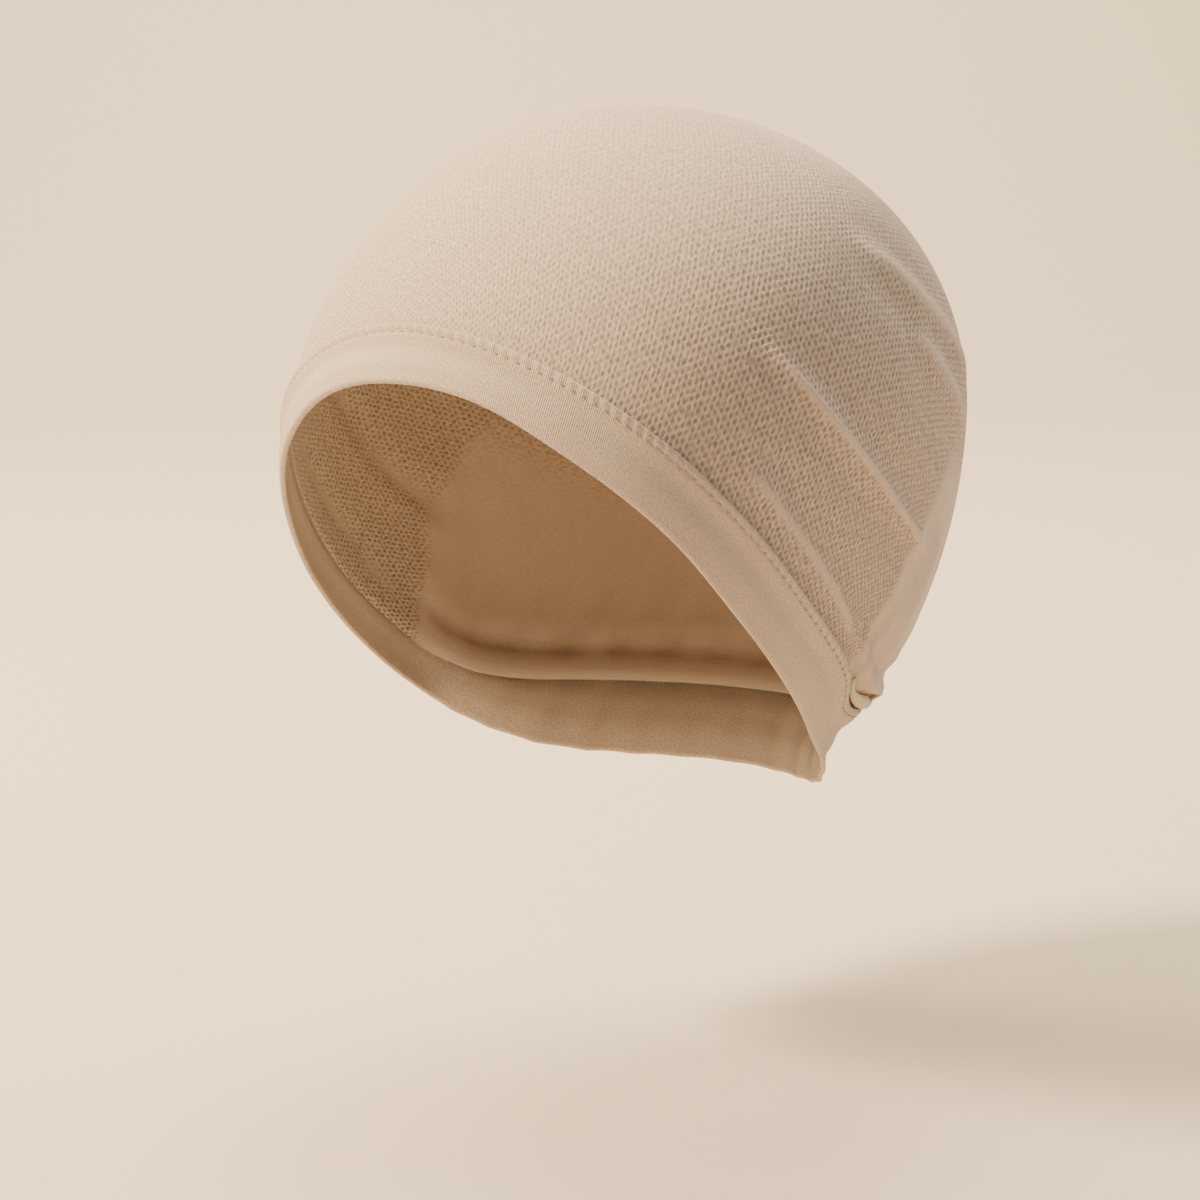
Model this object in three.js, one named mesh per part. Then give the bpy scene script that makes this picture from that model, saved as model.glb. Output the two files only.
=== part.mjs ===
// Wig cap: a stretch mesh crown, gathered onto an elastic at the nape and edged with a smooth knit band.
// Millimetres, +Z up. The face opening is towards -Y, the nape towards +Y and the left side, as worn, towards +X.
// The cap keeps the form that it has when worn. The origin is the middle of that form, at its widest girth.
import * as THREE from "three";

const DEGREE = Math.PI / 180;

// Worn form of the cloth: an egg in plan, half an ellipse up and half a longer one down, leaning back.
const HALF_WIDTH = 81.2;
const FRONT_LENGTH = 90.3;
const BACK_LENGTH = 105.9;
const RISE = 82.2;
const DROP = 114.2;
const EGG = 0.048; // share by which the back is wider, and the front narrower, than the middle
const LEAN = 0.114; // how far back the middle of a section moves for each millimetre up

// Cloth.
const CROWN_WALL = 1.2;
const BAND_WALL = 1.6;
const CLEARANCE = 0.3; // between one piece and the next

// Parts of the crown near its foot, as distances along the cloth above the band's upper edge.
const PINCH_ABOVE = 12; // drawn in over the elastic's far side
const LOBE_ABOVE = 9; // hung out over the elastic
const LIP_ABOVE = 6.8; // lowest point of the lobe
const TUCK_ABOVE = 4.4; // turned back in under the lobe
const HEM_ABOVE = -5; // hidden behind the band

// The grid starts at the back of the top, so that its rings lie along the face opening.
const POLE_TILT = 30 * DEGREE;
const COLUMNS = 112;
const BUNCHING = 0.42; // share by which columns stand closer at the nape than at the middle
const UPPER_RINGS = 13;
const RING_BUNCHING = 0.45; // share by which upper rings stand closer near the band
const HEM_RINGS = [16, PINCH_ABOVE, LOBE_ABOVE, LIP_ABOVE, TUCK_ABOVE, HEM_ABOVE];

// The band's edges, as heights at each turn from the middle of the front (0) round to the nape (180).
const BAND_EDGES = [
  { turn: 0, lower: 18.3, upper: 31.7 },
  { turn: 15, lower: 14.4, upper: 28.2 },
  { turn: 30, lower: 1.5, upper: 18.8 },
  { turn: 45, lower: -15.9, upper: 3.9 },
  { turn: 60, lower: -37.7, upper: -15.3 },
  { turn: 75, lower: -56.4, upper: -35.5 },
  { turn: 90, lower: -71.2, upper: -51.9 },
  { turn: 105, lower: -80.9, upper: -66.6 },
  { turn: 120, lower: -87.8, upper: -72.4 },
  { turn: 136, lower: -91.9, upper: -74.9 },
  { turn: 180, lower: -94.5, upper: -77.5 },
];

// Drag folds on the left side, repeated on the right: where each starts, its middle and its foot.
const FOLDS = [
  {
    name: "long fold from the side to the nape",
    turns: [63, 92, 114],
    heights: [30, -10, -32],
    width: 4,
    rise: 2.0,
  },
  {
    name: "fold along the band",
    turns: [57, 73, 94],
    heights: [1, -23, -51],
    width: 4,
    rise: 1.4,
  },
  {
    name: "upper fold at the back",
    turns: [99, 114, 138],
    heights: [50, 37, 14],
    width: 4.6,
    rise: 1.8,
  },
  {
    name: "second fold at the back",
    turns: [103, 113.5, 128],
    heights: [26, 14, -3],
    width: 4.2,
    rise: 1.5,
  },
  {
    name: "gathered strip above the nape",
    turns: [118, 115, 107],
    heights: [-24, -42, -61],
    width: 5.5,
    rise: 1.1,
  },
];
const CREST_STEPS = 12;
const FURROW_SHARE = 0.35; // depth of the furrow beside a fold, as a share of the fold's rise
const FURROW_AWAY = 2; // how far a furrow lies from its crest, in widths of the fold
const FOLD_BLUNTNESS = 0.6; // power that keeps a fold at its full rise until near its ends
const FOLDS_START_ABOVE = 1; // behind the band the crown lies flat
const FOLDS_FULL_ABOVE = 9;

// Gathers at the nape, made by the elastic.
const NAPE_START = 90; // turn at which the elastic begins to gather the crown
const NAPE_FULL = 106; // turn from which it gathers it fully
const GATHER_COUNT = 40; // gathers that would go all the way round at this spacing
const GATHER_DEPTH = 1.1;
const GATHER_REACH = 34; // how far up the crown they fade out
const GATHER_FADE = 28; // length over which they fade

// The crown across the elastic: offset of its outer face from the worn form.
const NAPE_PROFILE = [
  { above: 26, offset: 0 },
  { above: 16, offset: -0.8 },
  { above: PINCH_ABOVE, offset: -2.0 },
  { above: LOBE_ABOVE, offset: 0.2 },
  { above: LIP_ABOVE, offset: 0.9 },
  { above: TUCK_ABOVE, offset: -3.3 },
  { above: HEM_ABOVE, offset: -3.9 },
];

// The band from its upper to its lower edge: offset of its outer face, at the sides and at the nape.
const BAND_SECTION = [
  { share: 0, side: 1.9, nape: -1.0 },
  { share: 0.22, side: 1.9, nape: -1.2 },
  { share: 0.48, side: 1.8, nape: -2.1 },
  { share: 0.72, side: 1.6, nape: -1.5 },
  { share: 0.88, side: 1.4, nape: 0.9 },
  { share: 1, side: 1.2, nape: 2.9 },
];
const RUFFLE_DEPTH = 0.7;
const RUFFLE_FULL_SHARE = 0.5; // share of the band's width by which the ruffles reach their full depth
const RUFFLE_SLANT = 0.9; // how far the ruffle's wave turns across the band's width, in radians

// The elastic: a soft flattened roll along the band's upper edge, from one side of the nape to the other.
const ELASTIC_START = 98;
const ELASTIC_TAPER = 8; // turn over which its ends thin out
const ELASTIC_END_SHARE = 0.5; // size of its ends, as a share of its middle
const ELASTIC_HALF_HEIGHT = 1.9;
const ELASTIC_HALF_DEPTH = 1.6;
const ELASTIC_ABOVE = 2.3; // its middle above the band's upper edge
const ELASTIC_STEPS = 48;
const ELASTIC_SIDES = 8;

// How finely slopes and edges are worked out.
const PROBE = 0.01; // millimetres for a slope, radians for a rate
const LOWEST_POLAR = 170 * DEGREE;
const HALVINGS = 40;

const MESH_CLOTH = new THREE.MeshStandardMaterial({
  name: "stretch mesh",
  color: 0xcbb8a0,
  roughness: 0.85,
  metalness: 0,
  side: THREE.DoubleSide,
});
const BAND_CLOTH = new THREE.MeshStandardMaterial({
  name: "smooth knit band",
  color: 0xcfbca4,
  roughness: 0.75,
  metalness: 0,
});
const ELASTIC_CLOTH = new THREE.MeshStandardMaterial({
  name: "soft elastic",
  color: 0xd3c8ae,
  roughness: 0.8,
  metalness: 0,
});

const { clamp, lerp, smoothstep } = THREE.MathUtils;

// How many times over a point lies outside the worn form, which is 1 on its surface.
function formShare(point) {
  const back = point.y - LEAN * point.z;
  const across = Math.hypot(point.x, back);
  const turn = Math.atan2(point.x, -back);
  const width = HALF_WIDTH * (1 - EGG * Math.cos(turn));
  const length = Math.cos(turn) > 0 ? FRONT_LENGTH : BACK_LENGTH;
  const reach = 1 / Math.hypot(Math.sin(turn) / width, Math.cos(turn) / length);
  return Math.hypot(across / reach, point.z / (point.z > 0 ? RISE : DROP));
}

// The point of the form on a line from the origin, given by its angles about the tilted pole.
function formPoint(polar, around) {
  const out = Math.sin(polar);
  const point = new THREE.Vector3(out * Math.sin(around), -out * Math.cos(around), Math.cos(polar));
  point.applyAxisAngle(new THREE.Vector3(1, 0, 0), -POLE_TILT);
  return point.divideScalar(formShare(point));
}

// The point of the form at a turn in degrees and a height.
function formPointAt(turn, height) {
  const angle = turn * DEGREE;
  const level = new THREE.Vector3(Math.sin(angle), -Math.cos(angle), 0);
  const shrink = Math.sqrt(1 - (height / (height > 0 ? RISE : DROP)) ** 2);
  level.multiplyScalar(shrink / formShare(level));
  return new THREE.Vector3(level.x, level.y + LEAN * height, height);
}

function formNormal(point) {
  const slopes = ["x", "y", "z"].map((axis) => {
    const ahead = point.clone();
    const behind = point.clone();
    ahead[axis] += PROBE;
    behind[axis] -= PROBE;
    return formShare(ahead) - formShare(behind);
  });
  return new THREE.Vector3(...slopes).normalize();
}

// Turn of a point from the middle of the front, in degrees, the same on both sides.
function turnOf(point) {
  return Math.abs(Math.atan2(point.x, LEAN * point.z - point.y)) / DEGREE;
}

// A smooth curve through one column of a table, level at both of its ends.
function throughTable(table, at, column) {
  const last = table.length - 1;
  const rows = [
    { ...table[1], [at]: 2 * table[0][at] - table[1][at] },
    ...table,
    { ...table[last - 1], [at]: 2 * table[last][at] - table[last - 1][at] },
  ];
  const curve = new THREE.CubicInterpolant(
    rows.map((row) => row[at]),
    rows.map((row) => row[column]),
    1,
  );
  return (value) => curve.evaluate(value)[0];
}

// Straight lines through one column of a table whose first column falls, level past both of its ends.
function alongTable(table, at, column, value) {
  const next = table.findIndex((row) => row[at] <= value);
  if (next === 0) return table[0][column];
  if (next < 0) return table[table.length - 1][column];
  const share = (table[next - 1][at] - value) / (table[next - 1][at] - table[next][at]);
  return lerp(table[next - 1][column], table[next][column], share);
}

const lowerEdge = throughTable(BAND_EDGES, "turn", "lower");
const upperEdge = throughTable(BAND_EDGES, "turn", "upper");

// Polar angle at which a column of the grid comes down to an edge.
function polarAtEdge(around, edge) {
  let above = 0;
  let below = LOWEST_POLAR;
  for (let i = 0; i < HALVINGS; i++) {
    const middle = (above + below) / 2;
    const point = formPoint(middle, around);
    if (point.z > edge(turnOf(point))) above = middle;
    else below = middle;
  }
  return above;
}

// Polar angle at a distance along the cloth above or below another one.
function polarAbove(polar, around, distance) {
  const travel = formPoint(polar - PROBE, around).distanceTo(formPoint(polar + PROBE, around));
  return polar - (distance * 2 * PROBE) / travel;
}

const columnAngles = Array.from({ length: COLUMNS }, (_, i) => {
  const even = (2 * Math.PI * i) / COLUMNS;
  return even + BUNCHING * Math.sin(even);
});

// Points along the crest of each fold, on both sides.
const crests = FOLDS.flatMap((fold) => {
  const [top, middle, foot] = fold.turns.map((turn, i) => new THREE.Vector2(turn, fold.heights[i]));
  const pull = middle.clone().multiplyScalar(2).sub(top.clone().add(foot).multiplyScalar(0.5));
  const path = new THREE.QuadraticBezierCurve(top, pull, foot);
  const crest = path.getPoints(CREST_STEPS).map((place) => formPointAt(place.x, place.y));
  const mirrored = crest.map((point) => new THREE.Vector3(-point.x, point.y, point.z));
  return [crest, mirrored].map((points) => ({ ...fold, points }));
});

// Offset of the crown at a point near a fold: a rounded ridge with a shallow furrow on each side.
function foldOffset(point, crest) {
  const line = new THREE.Line3();
  const nearest = new THREE.Vector3();
  let distance = Infinity;
  let along = 0;
  for (let i = 0; i < CREST_STEPS; i++) {
    line.set(crest.points[i], crest.points[i + 1]);
    const share = line.closestPointToPointParameter(point, true);
    const gap = line.at(share, nearest).distanceTo(point);
    if (gap < distance) {
      distance = gap;
      along = (i + share) / CREST_STEPS;
    }
  }
  const fade = Math.sin(Math.PI * clamp(along, 0, 1)) ** FOLD_BLUNTNESS;
  const ridge = Math.exp(-((distance / crest.width) ** 2));
  const furrow = Math.exp(-((distance / crest.width - FURROW_AWAY) ** 2));
  return crest.rise * fade * (ridge - FURROW_SHARE * furrow);
}

// How much of the nape's gathering reaches a turn, from 0 at the sides to 1 at the back.
function napeShare(turn) {
  return smoothstep(turn, NAPE_START, NAPE_FULL);
}

// Offset of the crown's outer face from the worn form.
function crownOffset(point, around, above) {
  const folds = crests.reduce((sum, crest) => sum + foldOffset(point, crest), 0);
  const clear = smoothstep(above, FOLDS_START_ABOVE, FOLDS_FULL_ABOVE);
  const nape = napeShare(turnOf(point));
  const fade = smoothstep(GATHER_REACH - above, 0, GATHER_FADE) * smoothstep(above, TUCK_ABOVE, LIP_ABOVE);
  const gathers = GATHER_DEPTH * fade * Math.cos(GATHER_COUNT * around);
  return folds * clear + nape * (alongTable(NAPE_PROFILE, "above", "offset", above) + gathers);
}

function triangleMesh(name, material, points, triangles) {
  const geometry = new THREE.BufferGeometry();
  geometry.setAttribute("position", new THREE.Float32BufferAttribute(points.flatMap((p) => p.toArray()), 3));
  geometry.setIndex(triangles);
  geometry.computeVertexNormals();
  const mesh = new THREE.Mesh(geometry, material);
  mesh.name = name;
  return mesh;
}

// Two triangles for each cell between two closed rings of points, each given by the index of its first.
function bridge(first, second, count) {
  const triangles = [];
  for (let i = 0; i < count; i++) {
    const next = (i + 1) % count;
    triangles.push(first + i, second + i, second + next);
    triangles.push(first + i, second + next, first + next);
  }
  return triangles;
}

// Both faces of a wall whose rings start at one index, with its inner points a fixed number further on.
function wallFaces(start, rings, offset) {
  const triangles = [];
  for (let ring = 0; ring < rings - 1; ring++) {
    const upper = start + ring * COLUMNS;
    const lower = upper + COLUMNS;
    triangles.push(...bridge(upper, lower, COLUMNS));
    triangles.push(...bridge(offset + lower, offset + upper, COLUMNS));
  }
  return triangles;
}

// The crown: a thin shell from its pole down to a hem that is tucked behind the band.
function makeCrown() {
  const outer = [];
  const inner = [];
  const addPoint = (polar, around, above) => {
    const base = formPoint(polar, around);
    const normal = formNormal(base);
    const offset = crownOffset(base, around, above);
    outer.push(base.clone().addScaledVector(normal, offset));
    inner.push(base.clone().addScaledVector(normal, offset - CROWN_WALL));
  };
  addPoint(0, 0, 2 * GATHER_REACH);
  const edges = columnAngles.map((around) => polarAtEdge(around, upperEdge));
  for (let ring = 1; ring <= UPPER_RINGS; ring++) {
    const even = ring / (UPPER_RINGS + 1);
    const share = even * (1 + RING_BUNCHING * (1 - even));
    columnAngles.forEach((around, i) => {
      const polar = share * polarAbove(edges[i], around, HEM_RINGS[0]);
      const above = formPoint(polar, around).distanceTo(formPoint(edges[i], around));
      addPoint(polar, around, above);
    });
  }
  for (const above of HEM_RINGS) {
    columnAngles.forEach((around, i) => addPoint(polarAbove(edges[i], around, above), around, above));
  }
  const rings = UPPER_RINGS + HEM_RINGS.length;
  const offset = outer.length;
  const triangles = wallFaces(1, rings, offset);
  for (let i = 0; i < COLUMNS; i++) {
    const next = (i + 1) % COLUMNS;
    triangles.push(0, 1 + i, 1 + next);
    triangles.push(offset, offset + 1 + next, offset + 1 + i);
  }
  const hem = 1 + (rings - 1) * COLUMNS;
  triangles.push(...bridge(hem, offset + hem, COLUMNS));
  return triangleMesh("crown", MESH_CLOTH, [...outer, ...inner], triangles);
}

// The band: a ring of folded knit round the opening, drawn into ruffles at the nape.
function makeBand() {
  const outer = [];
  const inner = [];
  for (const { share, side, nape } of BAND_SECTION) {
    for (const around of columnAngles) {
      const polar = lerp(polarAtEdge(around, upperEdge), polarAtEdge(around, lowerEdge), share);
      const base = formPoint(polar, around);
      const normal = formNormal(base);
      const gathered = napeShare(turnOf(base));
      const wave = Math.cos(GATHER_COUNT * around + RUFFLE_SLANT * share);
      const ruffle = RUFFLE_DEPTH * gathered * smoothstep(share, 0, RUFFLE_FULL_SHARE) * wave;
      const offset = lerp(side, nape, gathered) + ruffle;
      outer.push(base.clone().addScaledVector(normal, offset));
      inner.push(base.clone().addScaledVector(normal, offset - BAND_WALL));
    }
  }
  const rings = BAND_SECTION.length;
  const offset = outer.length;
  const triangles = wallFaces(0, rings, offset);
  const last = (rings - 1) * COLUMNS;
  triangles.push(...bridge(last, offset + last, COLUMNS));
  triangles.push(...bridge(offset, 0, COLUMNS));
  return triangleMesh("band", BAND_CLOTH, [...outer, ...inner], triangles);
}

// The band's upper edge on the worn form, at a turn in degrees.
function upperEdgePoint(turn) {
  return formPointAt(turn, upperEdge(Math.min(turn, 360 - turn)));
}

// Directions out of and up along the cloth at a point of the band's upper edge.
function upperEdgeFrame(turn) {
  const point = upperEdgePoint(turn);
  const out = formNormal(point);
  const along = upperEdgePoint(turn + 1).sub(point).normalize();
  const up = new THREE.Vector3().crossVectors(out, along);
  return { point, out, up };
}

// The elastic: a soft flattened roll between the crown's gathers and the band.
function makeNapeElastic() {
  const points = [];
  const behind = alongTable(NAPE_PROFILE, "above", "offset", ELASTIC_ABOVE);
  for (let step = 0; step <= ELASTIC_STEPS; step++) {
    const turn = lerp(ELASTIC_START, 360 - ELASTIC_START, step / ELASTIC_STEPS);
    const side = Math.min(turn, 360 - turn);
    const size = lerp(ELASTIC_END_SHARE, 1, smoothstep(side, ELASTIC_START, ELASTIC_START + ELASTIC_TAPER));
    const { point: edge, out, up } = upperEdgeFrame(turn);
    const offset = behind * napeShare(side) + CLEARANCE + ELASTIC_HALF_DEPTH;
    const middle = edge.addScaledVector(up, ELASTIC_ABOVE).addScaledVector(out, offset);
    for (let i = 0; i < ELASTIC_SIDES; i++) {
      const angle = (2 * Math.PI * i) / ELASTIC_SIDES;
      const point = middle.clone().addScaledVector(out, size * ELASTIC_HALF_DEPTH * Math.cos(angle));
      points.push(point.addScaledVector(up, size * ELASTIC_HALF_HEIGHT * Math.sin(angle)));
    }
  }
  const triangles = [];
  for (let step = 0; step < ELASTIC_STEPS; step++) {
    triangles.push(...bridge(step * ELASTIC_SIDES, (step + 1) * ELASTIC_SIDES, ELASTIC_SIDES));
  }
  const lastRing = ELASTIC_STEPS * ELASTIC_SIDES;
  for (let i = 1; i < ELASTIC_SIDES - 1; i++) {
    triangles.push(0, i, i + 1);
    triangles.push(lastRing, lastRing + i + 1, lastRing + i);
  }
  return triangleMesh("nape_elastic", ELASTIC_CLOTH, points, triangles);
}

const cap = new THREE.Group();
cap.add(makeCrown(), makeBand(), makeNapeElastic());

export default cap;
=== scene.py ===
"""Wig cap in its worn form: an open stretch-mesh crown, a smooth knit band and a soft elastic at the nape.

Metres, +Z up. The face opening is towards -Y, the nape towards +Y and the left side, as worn, towards +X.
The cloth follows one worn form, and each piece is a closed thin shell laid on it.
"""

import logging
import math
from dataclasses import dataclass, field
from enum import Enum
from functools import partial

import bpy
import numpy as np
from mathutils import Matrix, Vector


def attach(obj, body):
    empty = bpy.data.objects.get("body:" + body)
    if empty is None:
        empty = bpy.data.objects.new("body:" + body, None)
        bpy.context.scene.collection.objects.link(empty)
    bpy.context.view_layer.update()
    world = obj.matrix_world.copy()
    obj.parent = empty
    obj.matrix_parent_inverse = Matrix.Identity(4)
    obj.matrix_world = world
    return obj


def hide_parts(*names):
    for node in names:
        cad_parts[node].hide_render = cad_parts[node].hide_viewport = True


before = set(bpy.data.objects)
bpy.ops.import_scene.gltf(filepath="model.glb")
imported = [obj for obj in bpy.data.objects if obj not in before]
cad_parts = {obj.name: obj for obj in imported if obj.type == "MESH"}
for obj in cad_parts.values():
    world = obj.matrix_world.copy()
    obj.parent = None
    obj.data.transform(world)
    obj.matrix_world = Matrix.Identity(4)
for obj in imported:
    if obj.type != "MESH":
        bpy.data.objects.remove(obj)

LOG = logging.getLogger("wig_cap")

MM = 0.001
FULL_TURN = 2 * math.pi
TINY = 1e-9
Points = np.ndarray
Values = np.ndarray


# ---------- plain maths


def smoothstep(value: Values, low: float, high: float) -> Values:
    """Eases from 0 at one value to 1 at another."""
    share = np.clip((value - low) / (high - low), 0.0, 1.0)
    return share * share * (3 - 2 * share)


def smooth_through(places: Values, heights: Values, value: Values) -> Values:
    """Follows a smooth curve through a table, level at both of its ends.

    Args:
        places: Rising places of the table's rows.
        heights: The curve's value at each row.
        value: Places to evaluate.

    Returns:
        The curve's values.
    """
    slopes = np.diff(heights) / np.diff(places)
    tangents = np.zeros(len(places))
    tangents[1:-1] = (slopes[:-1] + slopes[1:]) / 2
    row = np.clip(np.searchsorted(places, value, side="right") - 1, 0, len(places) - 2)
    step = places[row + 1] - places[row]
    share = np.clip((value - places[row]) / step, 0.0, 1.0)
    square, cube = share**2, share**3
    return (
        (2 * cube - 3 * square + 1) * heights[row]
        + (cube - 2 * square + share) * step * tangents[row]
        + (3 * square - 2 * cube) * heights[row + 1]
        + (cube - square) * step * tangents[row + 1]
    )


def unit(vectors: Points) -> Points:
    """Scales each vector to a length of one."""
    return vectors / np.linalg.norm(vectors, axis=-1, keepdims=True)


def path_lengths(points: Points) -> Values:
    """Gives how far along a line of points each one lies."""
    return np.concatenate([[0.0], np.cumsum(np.linalg.norm(np.diff(points, axis=0), axis=1))])


# ---------- worn form


@dataclass(frozen=True)
class WornForm:
    """The smooth form that the cloth is stretched over: an egg in plan, leaning back as it rises."""

    half_width: float = 81.2 * MM
    front_length: float = 90.3 * MM
    back_length: float = 105.9 * MM
    rise: float = 82.2 * MM
    drop: float = 114.2 * MM
    egg: float = 0.048
    lean: float = 0.114
    pole_tilt: float = math.radians(30)
    probe: float = 0.01 * MM

    def share(self, points: Points) -> Values:
        """Says how far out points lie.

        Args:
            points: Any points but the origin.

        Returns:
            How many times as far out as the form each one lies, which is 1 on its surface.
        """
        back = points[..., 1] - self.lean * points[..., 2]
        turn = np.arctan2(points[..., 0], -back)
        width = self.half_width * (1 - self.egg * np.cos(turn))
        length = np.where(np.cos(turn) > 0, self.front_length, self.back_length)
        across = np.hypot(points[..., 0], back) * np.hypot(np.sin(turn) / width, np.cos(turn) / length)
        upright = np.where(points[..., 2] > 0, self.rise, self.drop)
        return np.hypot(across, points[..., 2] / upright)

    def on_form(self, directions: Points) -> Points:
        """Carries each direction from the origin out to the form."""
        return directions / self.share(directions)[..., None]

    def from_pole(self, polar: Values, around: Values) -> Points:
        """Gives the form's points from their angles at the tilted pole.

        Args:
            polar: Angles down from the pole.
            around: Angles about it, from the front through the left side.

        Returns:
            The points.
        """
        polar, around = np.broadcast_arrays(polar, around)
        across, behind, up = np.sin(polar) * np.sin(around), -np.sin(polar) * np.cos(around), np.cos(polar)
        tilt_cos, tilt_sin = math.cos(self.pole_tilt), math.sin(self.pole_tilt)
        directions = [across, behind * tilt_cos + up * tilt_sin, up * tilt_cos - behind * tilt_sin]
        return self.on_form(np.stack(directions, -1))

    def to_pole(self, points: Points) -> tuple[Values, Values]:
        """Gives the angles of points at the tilted pole.

        Args:
            points: Any points but the origin.

        Returns:
            Angles down from the pole, and about it.
        """
        directions = unit(points)
        tilt_cos, tilt_sin = math.cos(self.pole_tilt), math.sin(self.pole_tilt)
        behind = directions[..., 1] * tilt_cos - directions[..., 2] * tilt_sin
        up = directions[..., 1] * tilt_sin + directions[..., 2] * tilt_cos
        return np.arccos(np.clip(up, -1, 1)), np.arctan2(directions[..., 0], -behind) % FULL_TURN

    def at(self, turn: Values, height: Values) -> Points:
        """Gives the form's points at turns and heights.

        Args:
            turn: Turns from the middle of the front, in degrees.
            height: Heights.

        Returns:
            The points.
        """
        turn, height = np.broadcast_arrays(np.radians(turn), height)
        level = np.stack([np.sin(turn), -np.cos(turn), np.zeros_like(turn)], -1)
        shrink = np.sqrt(1 - (height / np.where(height > 0, self.rise, self.drop)) ** 2)
        level = level * (shrink / self.share(level))[..., None]
        return np.stack([level[..., 0], level[..., 1] + self.lean * height, height], -1)

    def normal(self, points: Points) -> Points:
        """Gives the form's outward direction at points."""
        steps = np.eye(3) * self.probe
        return unit(np.stack([self.share(points + step) - self.share(points - step) for step in steps], -1))

    def turn(self, points: Points) -> Values:
        """Gives turns from the middle of the front in degrees, the same on both sides."""
        return np.degrees(np.abs(np.arctan2(points[..., 0], self.lean * points[..., 2] - points[..., 1])))


FORM = WornForm()


@dataclass(frozen=True)
class BandEdges:
    """Heights of the band's edges at turns from the middle of the front round to the nape."""

    turns: tuple[float, ...] = (0, 15, 30, 45, 60, 75, 90, 105, 120, 136, 180)
    lower_mm: tuple[float, ...] = (18.3, 14.4, 1.5, -15.9, -37.7, -56.4, -71.2, -80.9, -87.8, -91.9, -94.5)
    upper_mm: tuple[float, ...] = (31.7, 28.2, 18.8, 3.9, -15.3, -35.5, -51.9, -66.6, -72.4, -74.9, -77.5)
    samples: int = 1440
    lowest_polar: float = math.radians(170)
    halvings: int = 40
    probe: float = 0.01
    lower_polar: Values = field(init=False)
    upper_polar: Values = field(init=False)
    around: Values = field(init=False)

    def __post_init__(self) -> None:
        """Works out once how far down from the pole each edge lies."""
        around = np.arange(self.samples) * FULL_TURN / self.samples
        object.__setattr__(self, "around", around)
        object.__setattr__(self, "lower_polar", self.find(around, self.lower_mm))
        object.__setattr__(self, "upper_polar", self.find(around, self.upper_mm))

    def height(self, turn: Values, heights_mm: tuple[float, ...]) -> Values:
        """Gives the height of an edge at turns in degrees."""
        return smooth_through(np.array(self.turns, float), np.array(heights_mm) * MM, turn)

    def find(self, around: Values, heights_mm: tuple[float, ...]) -> Values:
        """Finds an edge by halving the range that it lies in.

        Args:
            around: Angles about the pole.
            heights_mm: The edge's row of heights.

        Returns:
            Its angles down from the pole.
        """
        above, below = np.zeros_like(around), np.full_like(around, self.lowest_polar)
        for _ in range(self.halvings):
            middle = (above + below) / 2
            points = FORM.from_pole(middle, around)
            higher = points[:, 2] > self.height(FORM.turn(points), heights_mm)
            above, below = np.where(higher, middle, above), np.where(higher, below, middle)
        return above

    def upper(self, around: Values) -> Values:
        """Gives the upper edge's angle down from the pole."""
        return np.interp(around, self.around, self.upper_polar, period=FULL_TURN)

    def lower(self, around: Values) -> Values:
        """Gives the lower edge's angle down from the pole."""
        return np.interp(around, self.around, self.lower_polar, period=FULL_TURN)

    def above(self, polar: Values, around: Values) -> Values:
        """Measures along the cloth from the band's upper edge.

        Args:
            polar: Angles down from the pole.
            around: Angles about it.

        Returns:
            Distances above the edge, negative behind the band.
        """
        edge = self.upper(around)
        gap = np.linalg.norm(FORM.from_pole(polar, around) - FORM.from_pole(edge, around), axis=-1)
        return np.where(polar < edge, gap, -gap)

    def above_upper(self, around: Values, distance: float) -> Values:
        """Gives the angle down from the pole at a distance above the band's upper edge.

        Args:
            around: Angles about the pole.
            distance: The distance along the cloth, negative below the edge.

        Returns:
            Angles down from the pole.
        """
        polar = self.upper(around)
        ahead, behind = (FORM.from_pole(polar + step, around) for step in (self.probe, -self.probe))
        return polar - distance * 2 * self.probe / np.linalg.norm(ahead - behind, axis=-1)

    def travel(self) -> tuple[Values, float]:
        """Measures the upper edge.

        Returns:
            The share of the way round it at each sample, and its whole length.
        """
        points = FORM.from_pole(self.upper_polar, self.around)
        lengths = path_lengths(np.concatenate([points, points[:1]]))
        return lengths[:-1] / lengths[-1], float(lengths[-1])

    def upper_point(self, turn: Values) -> Points:
        """Gives points of the upper edge at turns in degrees, right round."""
        return FORM.at(turn, self.height(np.minimum(turn, 360 - turn), self.upper_mm))


EDGES = BandEdges()


# ---------- folds and gathers


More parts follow.
